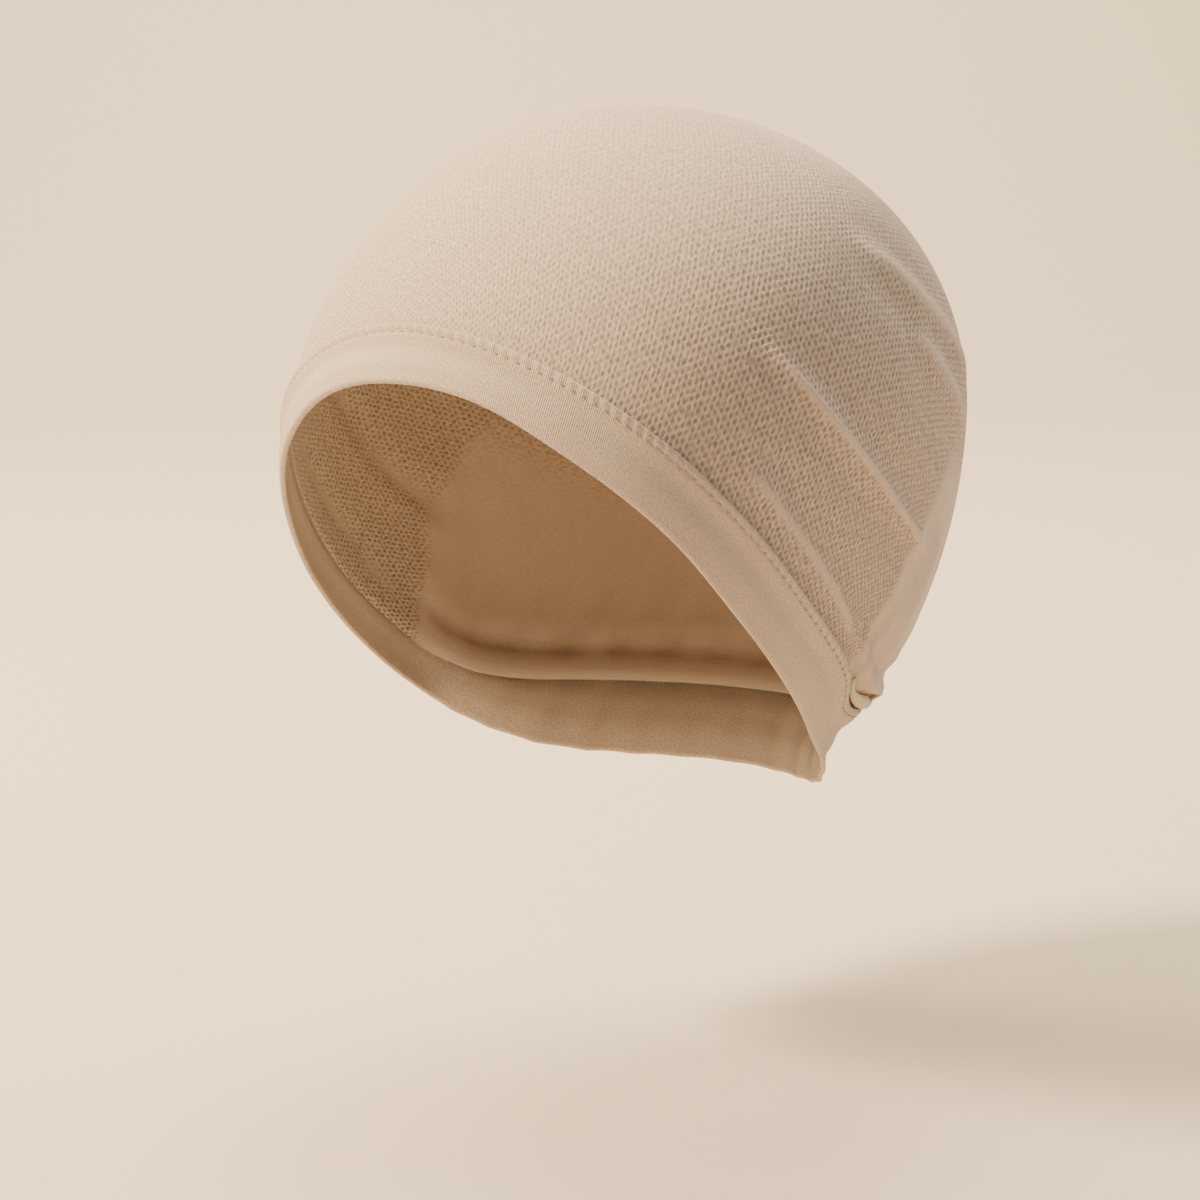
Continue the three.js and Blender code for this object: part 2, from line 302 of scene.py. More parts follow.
@dataclass(frozen=True)
class ClothPath:
    """A line over the left side of the crown, repeated on the right.

    Args:
        turns: Turns in degrees of its start, middle and foot.
        heights_mm: Heights of the same three places.
    """

    turns: tuple[float, float, float]
    heights_mm: tuple[float, float, float]
    steps: int = 24

    def line(self) -> Points:
        """Follows the line.

        Returns:
            Points along it, on the worn form.
        """
        top, middle, foot = (np.array(pair) for pair in zip(self.turns, self.heights_mm))
        pull = 2 * middle - (top + foot) / 2
        share = np.linspace(0, 1, self.steps + 1)[:, None]
        path = (1 - share) ** 2 * top + 2 * share * (1 - share) * pull + share**2 * foot
        return FORM.at(path[:, 0], path[:, 1] * MM)

    def nearest(self, points: Points) -> tuple[Values, Values]:
        """Finds where on the line points lie.

        Args:
            points: Points on either side of the crown.

        Returns:
            Each one's distance from the line, and its share of the way along it.
        """
        left = np.stack([np.abs(points[:, 0]), points[:, 1], points[:, 2]], -1)
        line = self.line()
        distance, along = np.full(len(left), np.inf), np.zeros(len(left))
        for step, (start, end) in enumerate(zip(line[:-1], line[1:])):
            stretch = end - start
            share = np.clip((left - start) @ stretch / (stretch @ stretch), 0, 1)
            gap = np.linalg.norm(left - start - share[:, None] * stretch, axis=1)
            closer = gap < distance
            distance = np.where(closer, gap, distance)
            along = np.where(closer, (step + share) / self.steps, along)
        return distance, along


@dataclass(frozen=True)
class Fold:
    """A raised drag fold with a shallow furrow on each side.

    Args:
        path: The line of its crest.
        width: Half its width.
        rise: How far its crest stands out.
        crease: Extra rise of a narrow crease along its crest.
        closed_width: Half the width of the strip where the crest pulls the mesh's holes shut.
        closed_share: How far it shuts them.
        fade_share: How soon it reaches its full height from either end.
    """

    path: ClothPath
    width: float
    rise: float
    crease: float = 0.0
    closed_width: float = 0.0
    closed_share: float = 0.0
    fade_share: float = 0.5
    closed_fade_share: float = 0.6
    furrow_share: float = 0.35
    furrow_away: float = 2.0
    crease_width: float = 1.0 * MM

    def offset(self, points: Points) -> Values:
        """Gives how far the fold moves the cloth out.

        Args:
            points: Points of the worn form.

        Returns:
            Distances outwards.
        """
        distance, along = self.path.nearest(points)
        fade = smoothstep(np.sin(np.pi * along), 0.0, self.fade_share)
        ridge = np.exp(-((distance / self.width) ** 2))
        furrow = np.exp(-((distance / self.width - self.furrow_away) ** 2))
        sharp = np.exp(-((distance / self.crease_width) ** 2))
        return fade * (self.rise * (ridge - self.furrow_share * furrow) + self.crease * sharp)

    def openness(self, points: Points) -> Values:
        """Gives how far the mesh's holes stay open near the fold.

        Args:
            points: Points of the worn form.

        Returns:
            Shares from 0, shut, to 1.
        """
        if self.closed_width == 0:
            return np.ones(len(points))
        distance, along = self.path.nearest(points)
        fade = smoothstep(np.sin(np.pi * along), 0.0, self.closed_fade_share)
        return 1 - self.closed_share * fade * np.exp(-((distance / self.closed_width) ** 4))


LONG_FOLD = Fold(
    ClothPath((61.5, 88, 114), (27.8, -8, -32)),
    width=3.5 * MM,
    rise=1.2 * MM,
    crease=0.55 * MM,
    closed_width=1.3 * MM,
    closed_share=1.0,
)
BAND_FOLD = Fold(
    ClothPath((57, 73, 94), (1, -23, -51)),
    width=3.2 * MM,
    rise=0.9 * MM,
    crease=0.15 * MM,
    closed_width=1.4 * MM,
    closed_share=0.9,
)
UPPER_BACK_FOLD = Fold(
    ClothPath((93, 113, 134), (51.5, 29.2, 9)),
    width=5 * MM,
    rise=1.7 * MM,
    closed_width=2 * MM,
    closed_share=0.75,
    fade_share=0.8,
)
SECOND_BACK_FOLD = Fold(
    ClothPath((102, 113, 128), (27, 14, -4)),
    width=4.8 * MM,
    rise=1.5 * MM,
    closed_width=2.6 * MM,
    closed_share=0.75,
    fade_share=0.8,
)
GATHERED_STRIP = Fold(ClothPath((118, 115, 107), (-24, -42, -61)), width=5.5 * MM, rise=1.1 * MM)
FOLDS = (LONG_FOLD, BAND_FOLD, UPPER_BACK_FOLD, SECOND_BACK_FOLD, GATHERED_STRIP)


@dataclass(frozen=True)
class NapeGathers:
    """How the elastic draws the crown and the band together at the nape."""

    start: float = 90.0
    full: float = 106.0
    # The gathers: how many go round, how far they wander and swell, and how far up they reach.
    count: int = 40
    drift: float = 0.5
    drift_waves: int = 9
    drift_start: float = 0.4
    sharpness: float = 0.2
    swell: float = 0.3
    swell_waves: int = 7
    swell_start: float = 1.3
    wave_height: float = 0.8
    depth: float = 1.1 * MM
    reach: float = 34 * MM
    fade: float = 28 * MM
    # The crown's section, from its hem up over the lobe that is tucked in at the elastic.
    above_mm: tuple[float, ...] = (-5, 4.4, 6.8, 9, 12, 16, 26)
    offset_mm: tuple[float, ...] = (-3.9, -3.3, 0.9, 0.2, -2.0, -0.8, 0)
    tuck: float = 4.4 * MM
    lip: float = 6.8 * MM
    # The band's ruffles, slanting across it and softer towards its lower edge.
    ruffle_depth: float = 0.6 * MM
    ruffle_slant: float = 0.5
    ruffle_full: float = 0.5
    ruffle_soft: float = 0.6
    ruffle_fall: float = 0.55
    # Long low pleats above the gathers, one to each two of them.
    pleat_share: float = 0.5
    pleat_drift: float = 1.1
    pleat_waves: int = 5
    pleat_depth: float = 0.3 * MM
    pleat_reach: float = 80 * MM
    # Where bunching shuts the mesh's holes: its front edge at heights, and its top at turns.
    closed_heights_mm: tuple[float, ...] = (-60, -49, -40, -34, -27, -22, -12, -3, 4)
    closed_turns: tuple[float, ...] = (93, 98, 102, 101.5, 104, 107.5, 113, 118, 123)
    closed_edge: tuple[float, float] = (-1.5, 2.5)
    closed_share: float = 0.97
    closed_top_turns: tuple[float, ...] = (120, 145, 180)
    closed_tops: tuple[float, ...] = (5, -12, -16)
    closed_fade: float = 22.0

    def share(self, turn: Values) -> Values:
        """Gives how much of the gathering reaches each turn."""
        return smoothstep(turn, self.start, self.full)

    def wave(self, around: Values, slant: Values | float = 0.0) -> Values:
        """Gives the height of the gathers round the nape, uneven as hand-drawn cloth is.

        Args:
            around: Angles about the pole.
            slant: How far on in the wave each place lies.

        Returns:
            Heights from about -1 to 1.
        """
        drift = self.drift * np.sin(self.drift_waves * around + self.drift_start)
        phase = self.count * around + slant + drift
        crest = np.cos(phase) + self.sharpness * np.cos(2 * phase)
        swell = 1 + self.swell * np.sin(self.swell_waves * around + self.swell_start)
        return crest * swell * self.wave_height

    def profile(self, above: Values | float) -> Values:
        """Gives how far out the crown lies at distances above the band's upper edge, before its gathers."""
        return np.interp(above, np.array(self.above_mm) * MM, np.array(self.offset_mm) * MM)

    def crown_offset(self, turn: Values, around: Values, above: Values) -> Values:
        """Gives how far the gathering moves the crown out.

        Args:
            turn: Turns from the middle of the front, in degrees.
            around: Angles about the pole.
            above: Distances above the band's upper edge.

        Returns:
            Distances outwards.
        """
        shown = smoothstep(above, self.tuck, self.lip)
        fade = smoothstep(self.reach - above, 0, self.fade) * shown
        phase = self.pleat_share * self.count * around + self.pleat_drift * np.sin(self.pleat_waves * around)
        low = smoothstep(self.pleat_reach - above, 0, self.pleat_reach)
        pleats = self.pleat_depth * low * np.cos(phase)
        return self.share(turn) * (
            self.profile(above) + self.depth * fade * self.wave(around) + pleats * shown
        )

    def closed(self, turn: Values, height: Values) -> Values:
        """Gives how far bunching shuts the mesh's holes, all round the back and fading upwards.

        Args:
            turn: Turns from the middle of the front, in degrees.
            height: Heights.

        Returns:
            Shares from 0, open, to 1.
        """
        front = np.interp(height / MM, self.closed_heights_mm, self.closed_turns)
        top = np.interp(turn, self.closed_top_turns, self.closed_tops) - height / MM
        behind = smoothstep(turn, front + self.closed_edge[0], front + self.closed_edge[1])
        return self.closed_share * behind * smoothstep(top, 0, self.closed_fade)

    def band_offset(self, turn: Values, around: Values, share: Values) -> Values:
        """Gives how far the ruffles move the band out.

        Args:
            turn: Turns from the middle of the front, in degrees.
            around: Angles about the pole.
            share: Shares of the band's width, from its upper edge.

        Returns:
            Distances outwards.
        """
        wave = self.wave(around, self.ruffle_slant * share)
        fall = 1 - self.ruffle_fall * smoothstep(share, self.ruffle_soft, 1)
        return self.ruffle_depth * self.share(turn) * (smoothstep(share, 0, self.ruffle_full) * fall) * wave


GATHERS = NapeGathers()


# ---------- knit lattice


@dataclass(frozen=True)
class KnitMap:
    """Lays the mesh's staggered holes evenly over the whole dome, with no seam.

    The cloth closes over the dome as the end of a flattened tube does, so it has two corners. One lies at the
    back of the top, the other in the face opening. Places in the flat cloth are complex numbers in metres:
    the real part runs across the wales and the imaginary part along them.
    """

    wale_pitch: float = 1.42 * MM
    course_pitch: float = 2.35 * MM
    # Turn and elevation in degrees of the two corners, and the wales and half courses between them.
    back_corner: tuple[float, float] = (180.0, 50.0)
    front_corner: tuple[float, float] = (-10.0, 8.0)
    wales_between: int = 130
    half_courses_between: int = 222
    # Near a corner the holes would crowd together, so they are spread.
    ease: float = 0.5
    ease_reach: float = 0.35
    table_reach: float = 12.0
    table_rows: int = 6000
    # How far down the tube the lattice is made, and the margin by which it overlaps itself.
    tube_reach: float = 2.6
    tube_margin: float = 0.04
    hole_depth: float = 0.34 * MM

    @staticmethod
    def direction(turn: float, elevation: float) -> Points:
        """Gives the direction at a turn and an elevation.

        Args:
            turn: The turn from the middle of the front, in degrees.
            elevation: The elevation in degrees.

        Returns:
            A direction of length one.
        """
        turn, elevation = math.radians(turn), math.radians(elevation)
        level = math.cos(elevation)
        return np.array([level * math.sin(turn), -level * math.cos(turn), math.sin(elevation)])

    def axes(self) -> tuple[Points, Points, Points, float]:
        """Works out how the tube's end lies on the dome.

        Returns:
            The middle direction between the corners, two directions across it and the corners' reach.
        """
        back, front = self.direction(*self.back_corner), self.direction(*self.front_corner)
        middle, first = unit(back + front), unit(back - front)
        return middle, first, np.cross(middle, first), 1 / math.tan(math.acos(float(back @ middle)) / 2)

    def corner_to_corner(self) -> complex:
        """Gives the step in the flat cloth that leads round half the tube."""
        across = self.wales_between * self.wale_pitch
        return complex(across, self.half_courses_between * self.course_pitch / 2)

    def eased(self, reach: Values) -> Values:
        """Spreads the holes near a corner."""
        return np.sqrt(reach**2 + self.ease * reach * np.exp(-reach / self.ease_reach))

    def to_dome(self, flat: Values) -> Points:
        """Carries places in the flat cloth to the dome.

        Args:
            flat: The places.

        Returns:
            Directions from the origin.
        """
        middle, first, second, reach = self.axes()
        place = np.cosh(flat * (math.pi * 1j / self.corner_to_corner()))
        for corner in (1, -1):
            away = place - corner
            distance = np.maximum(np.abs(away), TINY)
            place = corner + away * self.eased(distance) / distance
        place = place / reach
        square = np.abs(place) ** 2
        across = 2 * place.real[:, None] * first + 2 * place.imag[:, None] * second
        return (across + (1 - square)[:, None] * middle) / (1 + square)[:, None]

    def to_flat(self, directions: Points) -> Values:
        """Carries directions back to the flat cloth.

        Args:
            directions: Directions from the origin, of length one.

        Returns:
            Places, each in one of the cloth's equal sheets.
        """
        middle, first, second, reach = self.axes()
        place = reach * (directions @ first + 1j * (directions @ second)) / (1 + directions @ middle)
        near = np.linspace(0, self.table_reach, self.table_rows) ** 2 / self.table_reach
        for corner in (-1, 1):
            away = place - corner
            distance = np.maximum(np.abs(away), TINY)
            place = corner + away * np.interp(distance, self.eased(near), near) / distance
        return np.arccosh(place) * self.corner_to_corner() / (math.pi * 1j)

    def pattern(self, flat: Values) -> Values:
        """Gives texture coordinates: wales across and courses up, with a hole at each whole place."""
        return np.stack([flat.real / self.wale_pitch, flat.imag / self.course_pitch], -1)

    def face_pattern(self, directions: Points, faces: np.ndarray) -> Values:
        """Gives texture coordinates to faces that don't follow the lattice.

        Args:
            directions: Directions of the points, of length one.
            faces: Point indices, a face in each row.

        Returns:
            A pair for each corner, all of a face's in the sheet of its first one.
        """
        flat, step = self.to_flat(directions), 2 * self.corner_to_corner()
        corners = []
        for points in faces.T:
            same = np.stack([sign * flat[points] + turns * step for sign in (1, -1) for turns in (-1, 0, 1)])
            nearest = np.argmin(np.abs(same - flat[faces[:, 0]]), axis=0)
            corners.append(same[nearest, np.arange(len(faces))])
        return self.pattern(np.stack(corners, 1).ravel())


KNIT = KnitMap()


@dataclass
class TriangleCloth:
    """Triangles on the worn form, each corner with its place in the knit's pattern.

    Args:
        base: Points on the worn form.
        triangles: Three point indices a row.
        pattern: Texture coordinates of each triangle's three corners.
        pit: How deep in a hole each point lies, from 0 to 1.
    """

    base: Points
    triangles: np.ndarray
    pattern: Values
    pit: Values

    def refined(self, wanted: np.ndarray) -> "TriangleCloth":
        """Splits each edge that has both ends wanted, and the triangles on it, with no gaps.

        Args:
            wanted: Which points lie where the cloth needs finer triangles.

        Returns:
            The finer cloth.
        """
        triangles = self.triangles
        edges = np.sort(np.stack([triangles, np.roll(triangles, -1, axis=1)], -1), axis=-1).reshape(-1, 2)
        unique, edge_of = np.unique(edges, axis=0, return_inverse=True)
        edge_of = edge_of.reshape(-1, 3)
        split = wanted[unique].all(axis=1)
        new_index = np.full(len(unique), -1)
        new_index[split] = len(self.base) + np.arange(split.sum())
        ends = unique[split]
        base = np.concatenate([self.base, FORM.on_form(self.base[ends].mean(axis=1))])
        pit = np.concatenate([self.pit, self.pit[ends].mean(axis=1)])
        middles, marks = new_index[edge_of], split[edge_of]
        whole = ~marks.any(axis=1)
        kept, kept_pattern = [triangles[whole]], [self.pattern[whole]]
        for turn in range(3):
            corner, middle, mark, place = (
                np.roll(rows, -turn, axis=1) for rows in (triangles, middles, marks, self.pattern)
            )
            six = np.concatenate([corner, middle], axis=1)
            places = np.concatenate([place, (place + np.roll(place, -1, axis=1)) / 2], axis=1)
            one = mark[:, 0] & ~mark[:, 1] & ~mark[:, 2]
            two = mark[:, 0] & mark[:, 1] & ~mark[:, 2]
            every = mark.all(axis=1) & (turn == 0)
            # Of the six places on a triangle, 0 to 2 are its corners and 3 to 5 the middles after them.
            cuts = (
                (one, ((0, 3, 2), (3, 1, 2))),
                (two, ((1, 4, 3), (0, 3, 4), (0, 4, 2))),
                (every, ((0, 3, 5), (1, 4, 3), (2, 5, 4), (3, 4, 5))),
            )
            for chosen, pieces in cuts:
                for piece in pieces:
                    kept.append(six[chosen][:, piece])
                    kept_pattern.append(places[chosen][:, piece])
        return TriangleCloth(base, np.concatenate(kept), np.concatenate(kept_pattern), pit)

    def rim(self) -> list[int]:
        """Follows the open edge.

        Returns:
            The points along it, in order.
        """
        edges = np.stack([self.triangles, np.roll(self.triangles, -1, axis=1)], -1).reshape(-1, 2)
        keys = np.sort(edges, axis=1)
        _, first, counts = np.unique(keys, axis=0, return_index=True, return_counts=True)
        follows = {int(start): int(end) for start, end in edges[first[counts == 1]]}
        start = min(follows)
        loop, place = [start], follows[start]
        while place != start:
            loop.append(place)
            place = follows[place]
        return loop


def knit_lattice(knit: KnitMap, lowest: float) -> TriangleCloth:
    """Makes the open mesh: a four-sided cell round each hole, down to a line behind the band.

    Args:
        knit: The mesh's lattice.
        lowest: Distance above the band's upper edge at which the mesh ends.

    Returns:
        The cloth, with a pit at the middle of each cell.
    """
    half_turn = knit.corner_to_corner()
    wale, course = knit.wale_pitch, knit.course_pitch / 2
    widest, margin = knit.tube_reach, knit.tube_margin
    corners = np.array([complex(x, y) for x in (0, widest) for y in (0, FULL_TURN)])
    corners = corners * half_turn / (math.pi * 1j)
    wales, courses = (
        np.arange(math.floor(ends.min() / pitch), math.ceil(ends.max() / pitch) + 1)
        for ends, pitch in ((corners.real, wale), (corners.imag, course))
    )
    wales, courses = (grid.ravel() for grid in np.meshgrid(wales, courses, indexing="ij"))
    staggered = (wales + courses) % 2 == 0
    cells = np.stack([wales[staggered], courses[staggered]], -1)
    tube = (cells[:, 0] * wale + 1j * cells[:, 1] * course) * math.pi * 1j / half_turn
    along, round_tube = tube.real, tube.imag
    inside = (along > -margin) & (along < widest) & (round_tube > -margin) & (round_tube < FULL_TURN + margin)
    # The cell on a corner of the flattened tube folds onto itself, and its neighbours close over it.
    corner_gap = 1e-6
    cells = cells[inside & (np.abs(np.sinh(tube)) > corner_gap)]
    around_cell = np.array([(1, 0), (0, 1), (-1, 0), (0, -1)])
    middle = np.repeat(cells[:, None, :], len(around_cell), axis=1)
    rims = cells[:, None, :] + around_cell[None, :, :]
    lattice = np.stack([middle, rims, np.roll(rims, -1, axis=1)], axis=2).reshape(-1, 3, 2)
    places, index = np.unique(lattice.reshape(-1, 2), axis=0, return_inverse=True)
    flat = places[:, 0] * wale + 1j * places[:, 1] * course
    base = FORM.on_form(knit.to_dome(flat))
    # Places of the flat cloth that meet on the dome become one point. The shift keeps points on the plane of
    # symmetry away from a grain's edge.
    grain, shift = 0.001 * MM, 0.37
    keys = np.floor(base / grain + shift).astype(np.int64)
    _, first, same = np.unique(keys, axis=0, return_index=True, return_inverse=True)
    triangles = same.ravel()[index.ravel()].reshape(-1, 3)
    _, kept = np.unique(np.sort(triangles, axis=1), axis=0, return_index=True)
    triangles = triangles[kept]
    pattern = knit.pattern(flat[index.ravel()].reshape(-1, 3)[kept].ravel()).reshape(-1, 3, 2)
    base = base[first]
    above = EDGES.above(*FORM.to_pole(base))
    covered = (above[triangles] > lowest).all(axis=1)
    triangles, pattern = triangles[covered], pattern[covered]
    used, renumbered = np.unique(triangles, return_inverse=True)
    pit = np.zeros(len(base))
    pit[triangles[:, 0]] = 1
    return TriangleCloth(base[used], renumbered.reshape(-1, 3), pattern, pit[used])


# ---------- mesh helpers


class Side(Enum):
    """Which way a shell's face looks."""

    OUTER = 1
    INNER = -1


def ring_faces(rings: int, columns: int, start: int = 0, side: Side = Side.OUTER) -> np.ndarray:
    """Gives the four-sided faces between closed rings of points that follow one another.

    Args:
        rings: Number of rings.
        columns: Points in each ring.
        start: Index of the first ring's first point.
        side: Which way the faces look.

    Returns:
        Four point indices a row.
    """
    ring, column = start + np.arange(rings - 1)[:, None] * columns, np.arange(columns)
    first, following = ring + column, ring + (column + 1) % columns
    faces = np.stack([first, first + columns, following + columns, following], -1).reshape(-1, 4)
    return faces if side is Side.OUTER else faces[:, ::-1]


def ring_pattern(across: Values, down: Values) -> Values:
    """Gives the faces between rings their texture coordinates.

    Args:
        across: First coordinate, a row for each ring with its first point again at its end.
        down: Second coordinate, in the same way.

    Returns:
        A pair for each corner, in the order of ring_faces.
    """
    rings, columns = across.shape[0] - 1, across.shape[1] - 1
    corners = np.zeros((rings, columns, 4, 2))
    for corner, (ring, column) in enumerate(((0, 0), (1, 0), (1, 1), (0, 1))):
        for axis, values in enumerate((across, down)):
            corners[:, :, corner, axis] = values[ring : rings + ring, column : columns + column]
    return corners.reshape(-1, 2)


def zipped(upper: list[int], lower: list[int], points: Points) -> list[tuple[int, int, int]]:
    """Closes the strip between two loops of different lengths.

    Args:
        upper: One loop's points, in order.
        lower: The other loop's points, in the same order round, starting beside the first.
        points: Where they all lie.

    Returns:
        Triangles.
    """
    faces = []
    i = j = 0
    while i < len(upper) or j < len(lower):
        a, b = upper[i % len(upper)], lower[j % len(lower)]
        next_a, next_b = upper[(i + 1) % len(upper)], lower[(j + 1) % len(lower)]
        gap_a, gap_b = np.linalg.norm(points[next_a] - points[b]), np.linalg.norm(points[next_b] - points[a])
        if j >= len(lower) or (i < len(upper) and gap_a <= gap_b):
            faces.append((a, b, next_a))
            i += 1
        else:
            faces.append((a, b, next_b))
            j += 1
    return faces


def add_object(name: str, data: bpy.types.ID) -> bpy.types.Object:
    """Adds an object to the scene.

    Args:
        name: Its name.
        data: Its mesh, light or camera.

    Returns:
        The object, at the origin.
    """
    obj = bpy.data.objects.new(name, data)
    bpy.context.scene.collection.objects.link(obj)
    return obj


def mesh_object(name: str, points: Points, faces: list, material: bpy.types.Material) -> bpy.types.Object:
    """Makes a smooth-shaded mesh object at the origin.

    Args:
        name: Name of the object and its mesh.
        points: Its points.
        faces: Point indices of each face.
        material: Its material.

    Returns:
        The object.
    """
    mesh = bpy.data.meshes.new(name)
    mesh.from_pydata(points.tolist(), [], faces)
    mesh.materials.append(material)
    mesh.shade_smooth()
    return add_object(name, mesh)


def set_pattern(obj: bpy.types.Object, corners: Values) -> None:
    """Gives a mesh its place in the knit, one pair of texture coordinates for each face corner."""
    obj.data.uv_layers.new(name="knit").uv.foreach_set("vector", corners.astype(np.float32).ravel())


def column_angles(columns: int, bunching: float = 0.42) -> Values:
    """Gives angles about the pole that stand closer together at the nape."""
    even = np.arange(columns) * FULL_TURN / columns
    return even + bunching * np.sin(even)


# ---------- finishes


MATH, VECTOR_MATH, NOISE = "ShaderNodeMath", "ShaderNodeVectorMath", "ShaderNodeTexNoise"
RANGE, MIX, SPLIT = "ShaderNodeMapRange", "ShaderNodeMix", "ShaderNodeSeparateXYZ"
EASED = "SMOOTHSTEP"
# A mix node has inputs for each type of value, and these are its share, its two colours and their mix.
SHARE, COLOUR_A, COLOUR_B, MIXED = 0, 6, 7, 2


def to_linear(colour: str) -> tuple[float, float, float, float]:
    """Turns an sRGB hex colour into linear values with full opacity."""
    parts = [int(colour[i : i + 2], 16) / 255 for i in (1, 3, 5)]
    return (*(p / 12.92 if p <= 0.04045 else ((p + 0.055) / 1.055) ** 2.4 for p in parts), 1.0)


def add_node(
    tree: bpy.types.NodeTree, kind: str, *values: object, inputs: dict | None = None, **settings: object
) -> bpy.types.Node:
    """Adds a node, with its settings and its inputs joined or set.

    Args:
        tree: Node tree.
        kind: Node type.
        values: What its first inputs get, in order: a value, a socket, or a node for its first output.
        inputs: What other inputs get, by name or number.
        settings: Node properties.

    Returns:
        The node.
    """
    node = tree.nodes.new(kind)
    for name, value in settings.items():
        setattr(node, name, value)
    for key, value in (*enumerate(values), *(inputs or {}).items()):
        source = value.outputs[0] if isinstance(value, bpy.types.Node) else value
        if isinstance(source, bpy.types.NodeSocket):
            tree.links.new(source, node.inputs[key])
        else:
            node.inputs[key].default_value = source
    return node


@dataclass(frozen=True)
class ClothFinish:
    """What all the cap's cloths share: matt, with the soft bright edge of fine fibres.

    Args:
        name: Name of the material.
        yarn: Colour of the yarn on the tops of its grain, where it faces the light: its own tone with a
            painted highlight.
        shade: Colour of the grain's hollows, its own tone with painted shade; the slow patches darken towards
            it too.
        roughness: Roughness of the cloth.
        sheen: Strength of the soft edge that loose fibres give.
        relief: Height of the bump.
        bump: Strength of the bump.
        patch_scale: Patches of slow unevenness in a metre.
        patch_detail: Detail of the patches.
        patch_share: How far they darken the cloth.
    """

    name: str
    yarn: str
    shade: str
    roughness: float
    sheen: float
    relief: float = 0.0
    bump: float = 0.7
    patch_scale: float = 45.0
    patch_detail: float = 2.0
    patch_share: float = 0.25
    sheen_roughness: float = 0.5
    specular: float = 0.2
    # Noise lies mostly between these values.
    noise_range: tuple[float, float] = (0.25, 0.75)
    patch_range: tuple[float, float] = (0.3, 0.7)

    def start(self) -> tuple[bpy.types.Material, bpy.types.NodeTree, bpy.types.Node]:
        """Makes the material, with no pattern on it yet.

        Returns:
            The material, its tree and its shader.
        """
        material = bpy.data.materials.new(self.name)
        material.use_nodes = True
        tree = material.node_tree
        shader = tree.nodes["Principled BSDF"]
        shader.inputs["Roughness"].default_value = self.roughness
        shader.inputs["Sheen Weight"].default_value = self.sheen
        shader.inputs["Sheen Roughness"].default_value = self.sheen_roughness
        shader.inputs["Specular IOR Level"].default_value = self.specular
        return material, tree, shader

    def join(
        self, tree: bpy.types.NodeTree, shader: bpy.types.Node, colour: object, height: object, *layers: tuple
    ) -> None:
        """Joins a pattern to the shader, with slow unevenness of the stretch, a few centimetres across.

        Args:
            tree: The material's tree.
            shader: Its shader.
            colour: The pattern's colour.
            height: Its height.
            layers: Further colours over it, each as how much of it shows and the colour.
        """
        add = partial(add_node, tree)
        place = add("ShaderNodeTexCoord").outputs["Object"]
        noise = add(NOISE, inputs={"Vector": place, "Scale": self.patch_scale, "Detail": self.patch_detail})
        patches = add(RANGE, noise, *self.patch_range, interpolation_type=EASED)
        dark = add(MATH, patches, self.patch_share, operation="MULTIPLY")
        for share, over in ((dark, to_linear(self.shade)), *layers):
            sockets = {SHARE: share, COLOUR_A: colour, COLOUR_B: over}
            colour = add(MIX, inputs=sockets, data_type="RGBA").outputs[MIXED]
        sockets = {"Height": height, "Distance": self.relief, "Strength": self.bump}
        bump = add("ShaderNodeBump", inputs=sockets)
        tree.links.new(colour, shader.inputs["Base Color"])
        tree.links.new(bump.outputs[0], shader.inputs["Normal"])


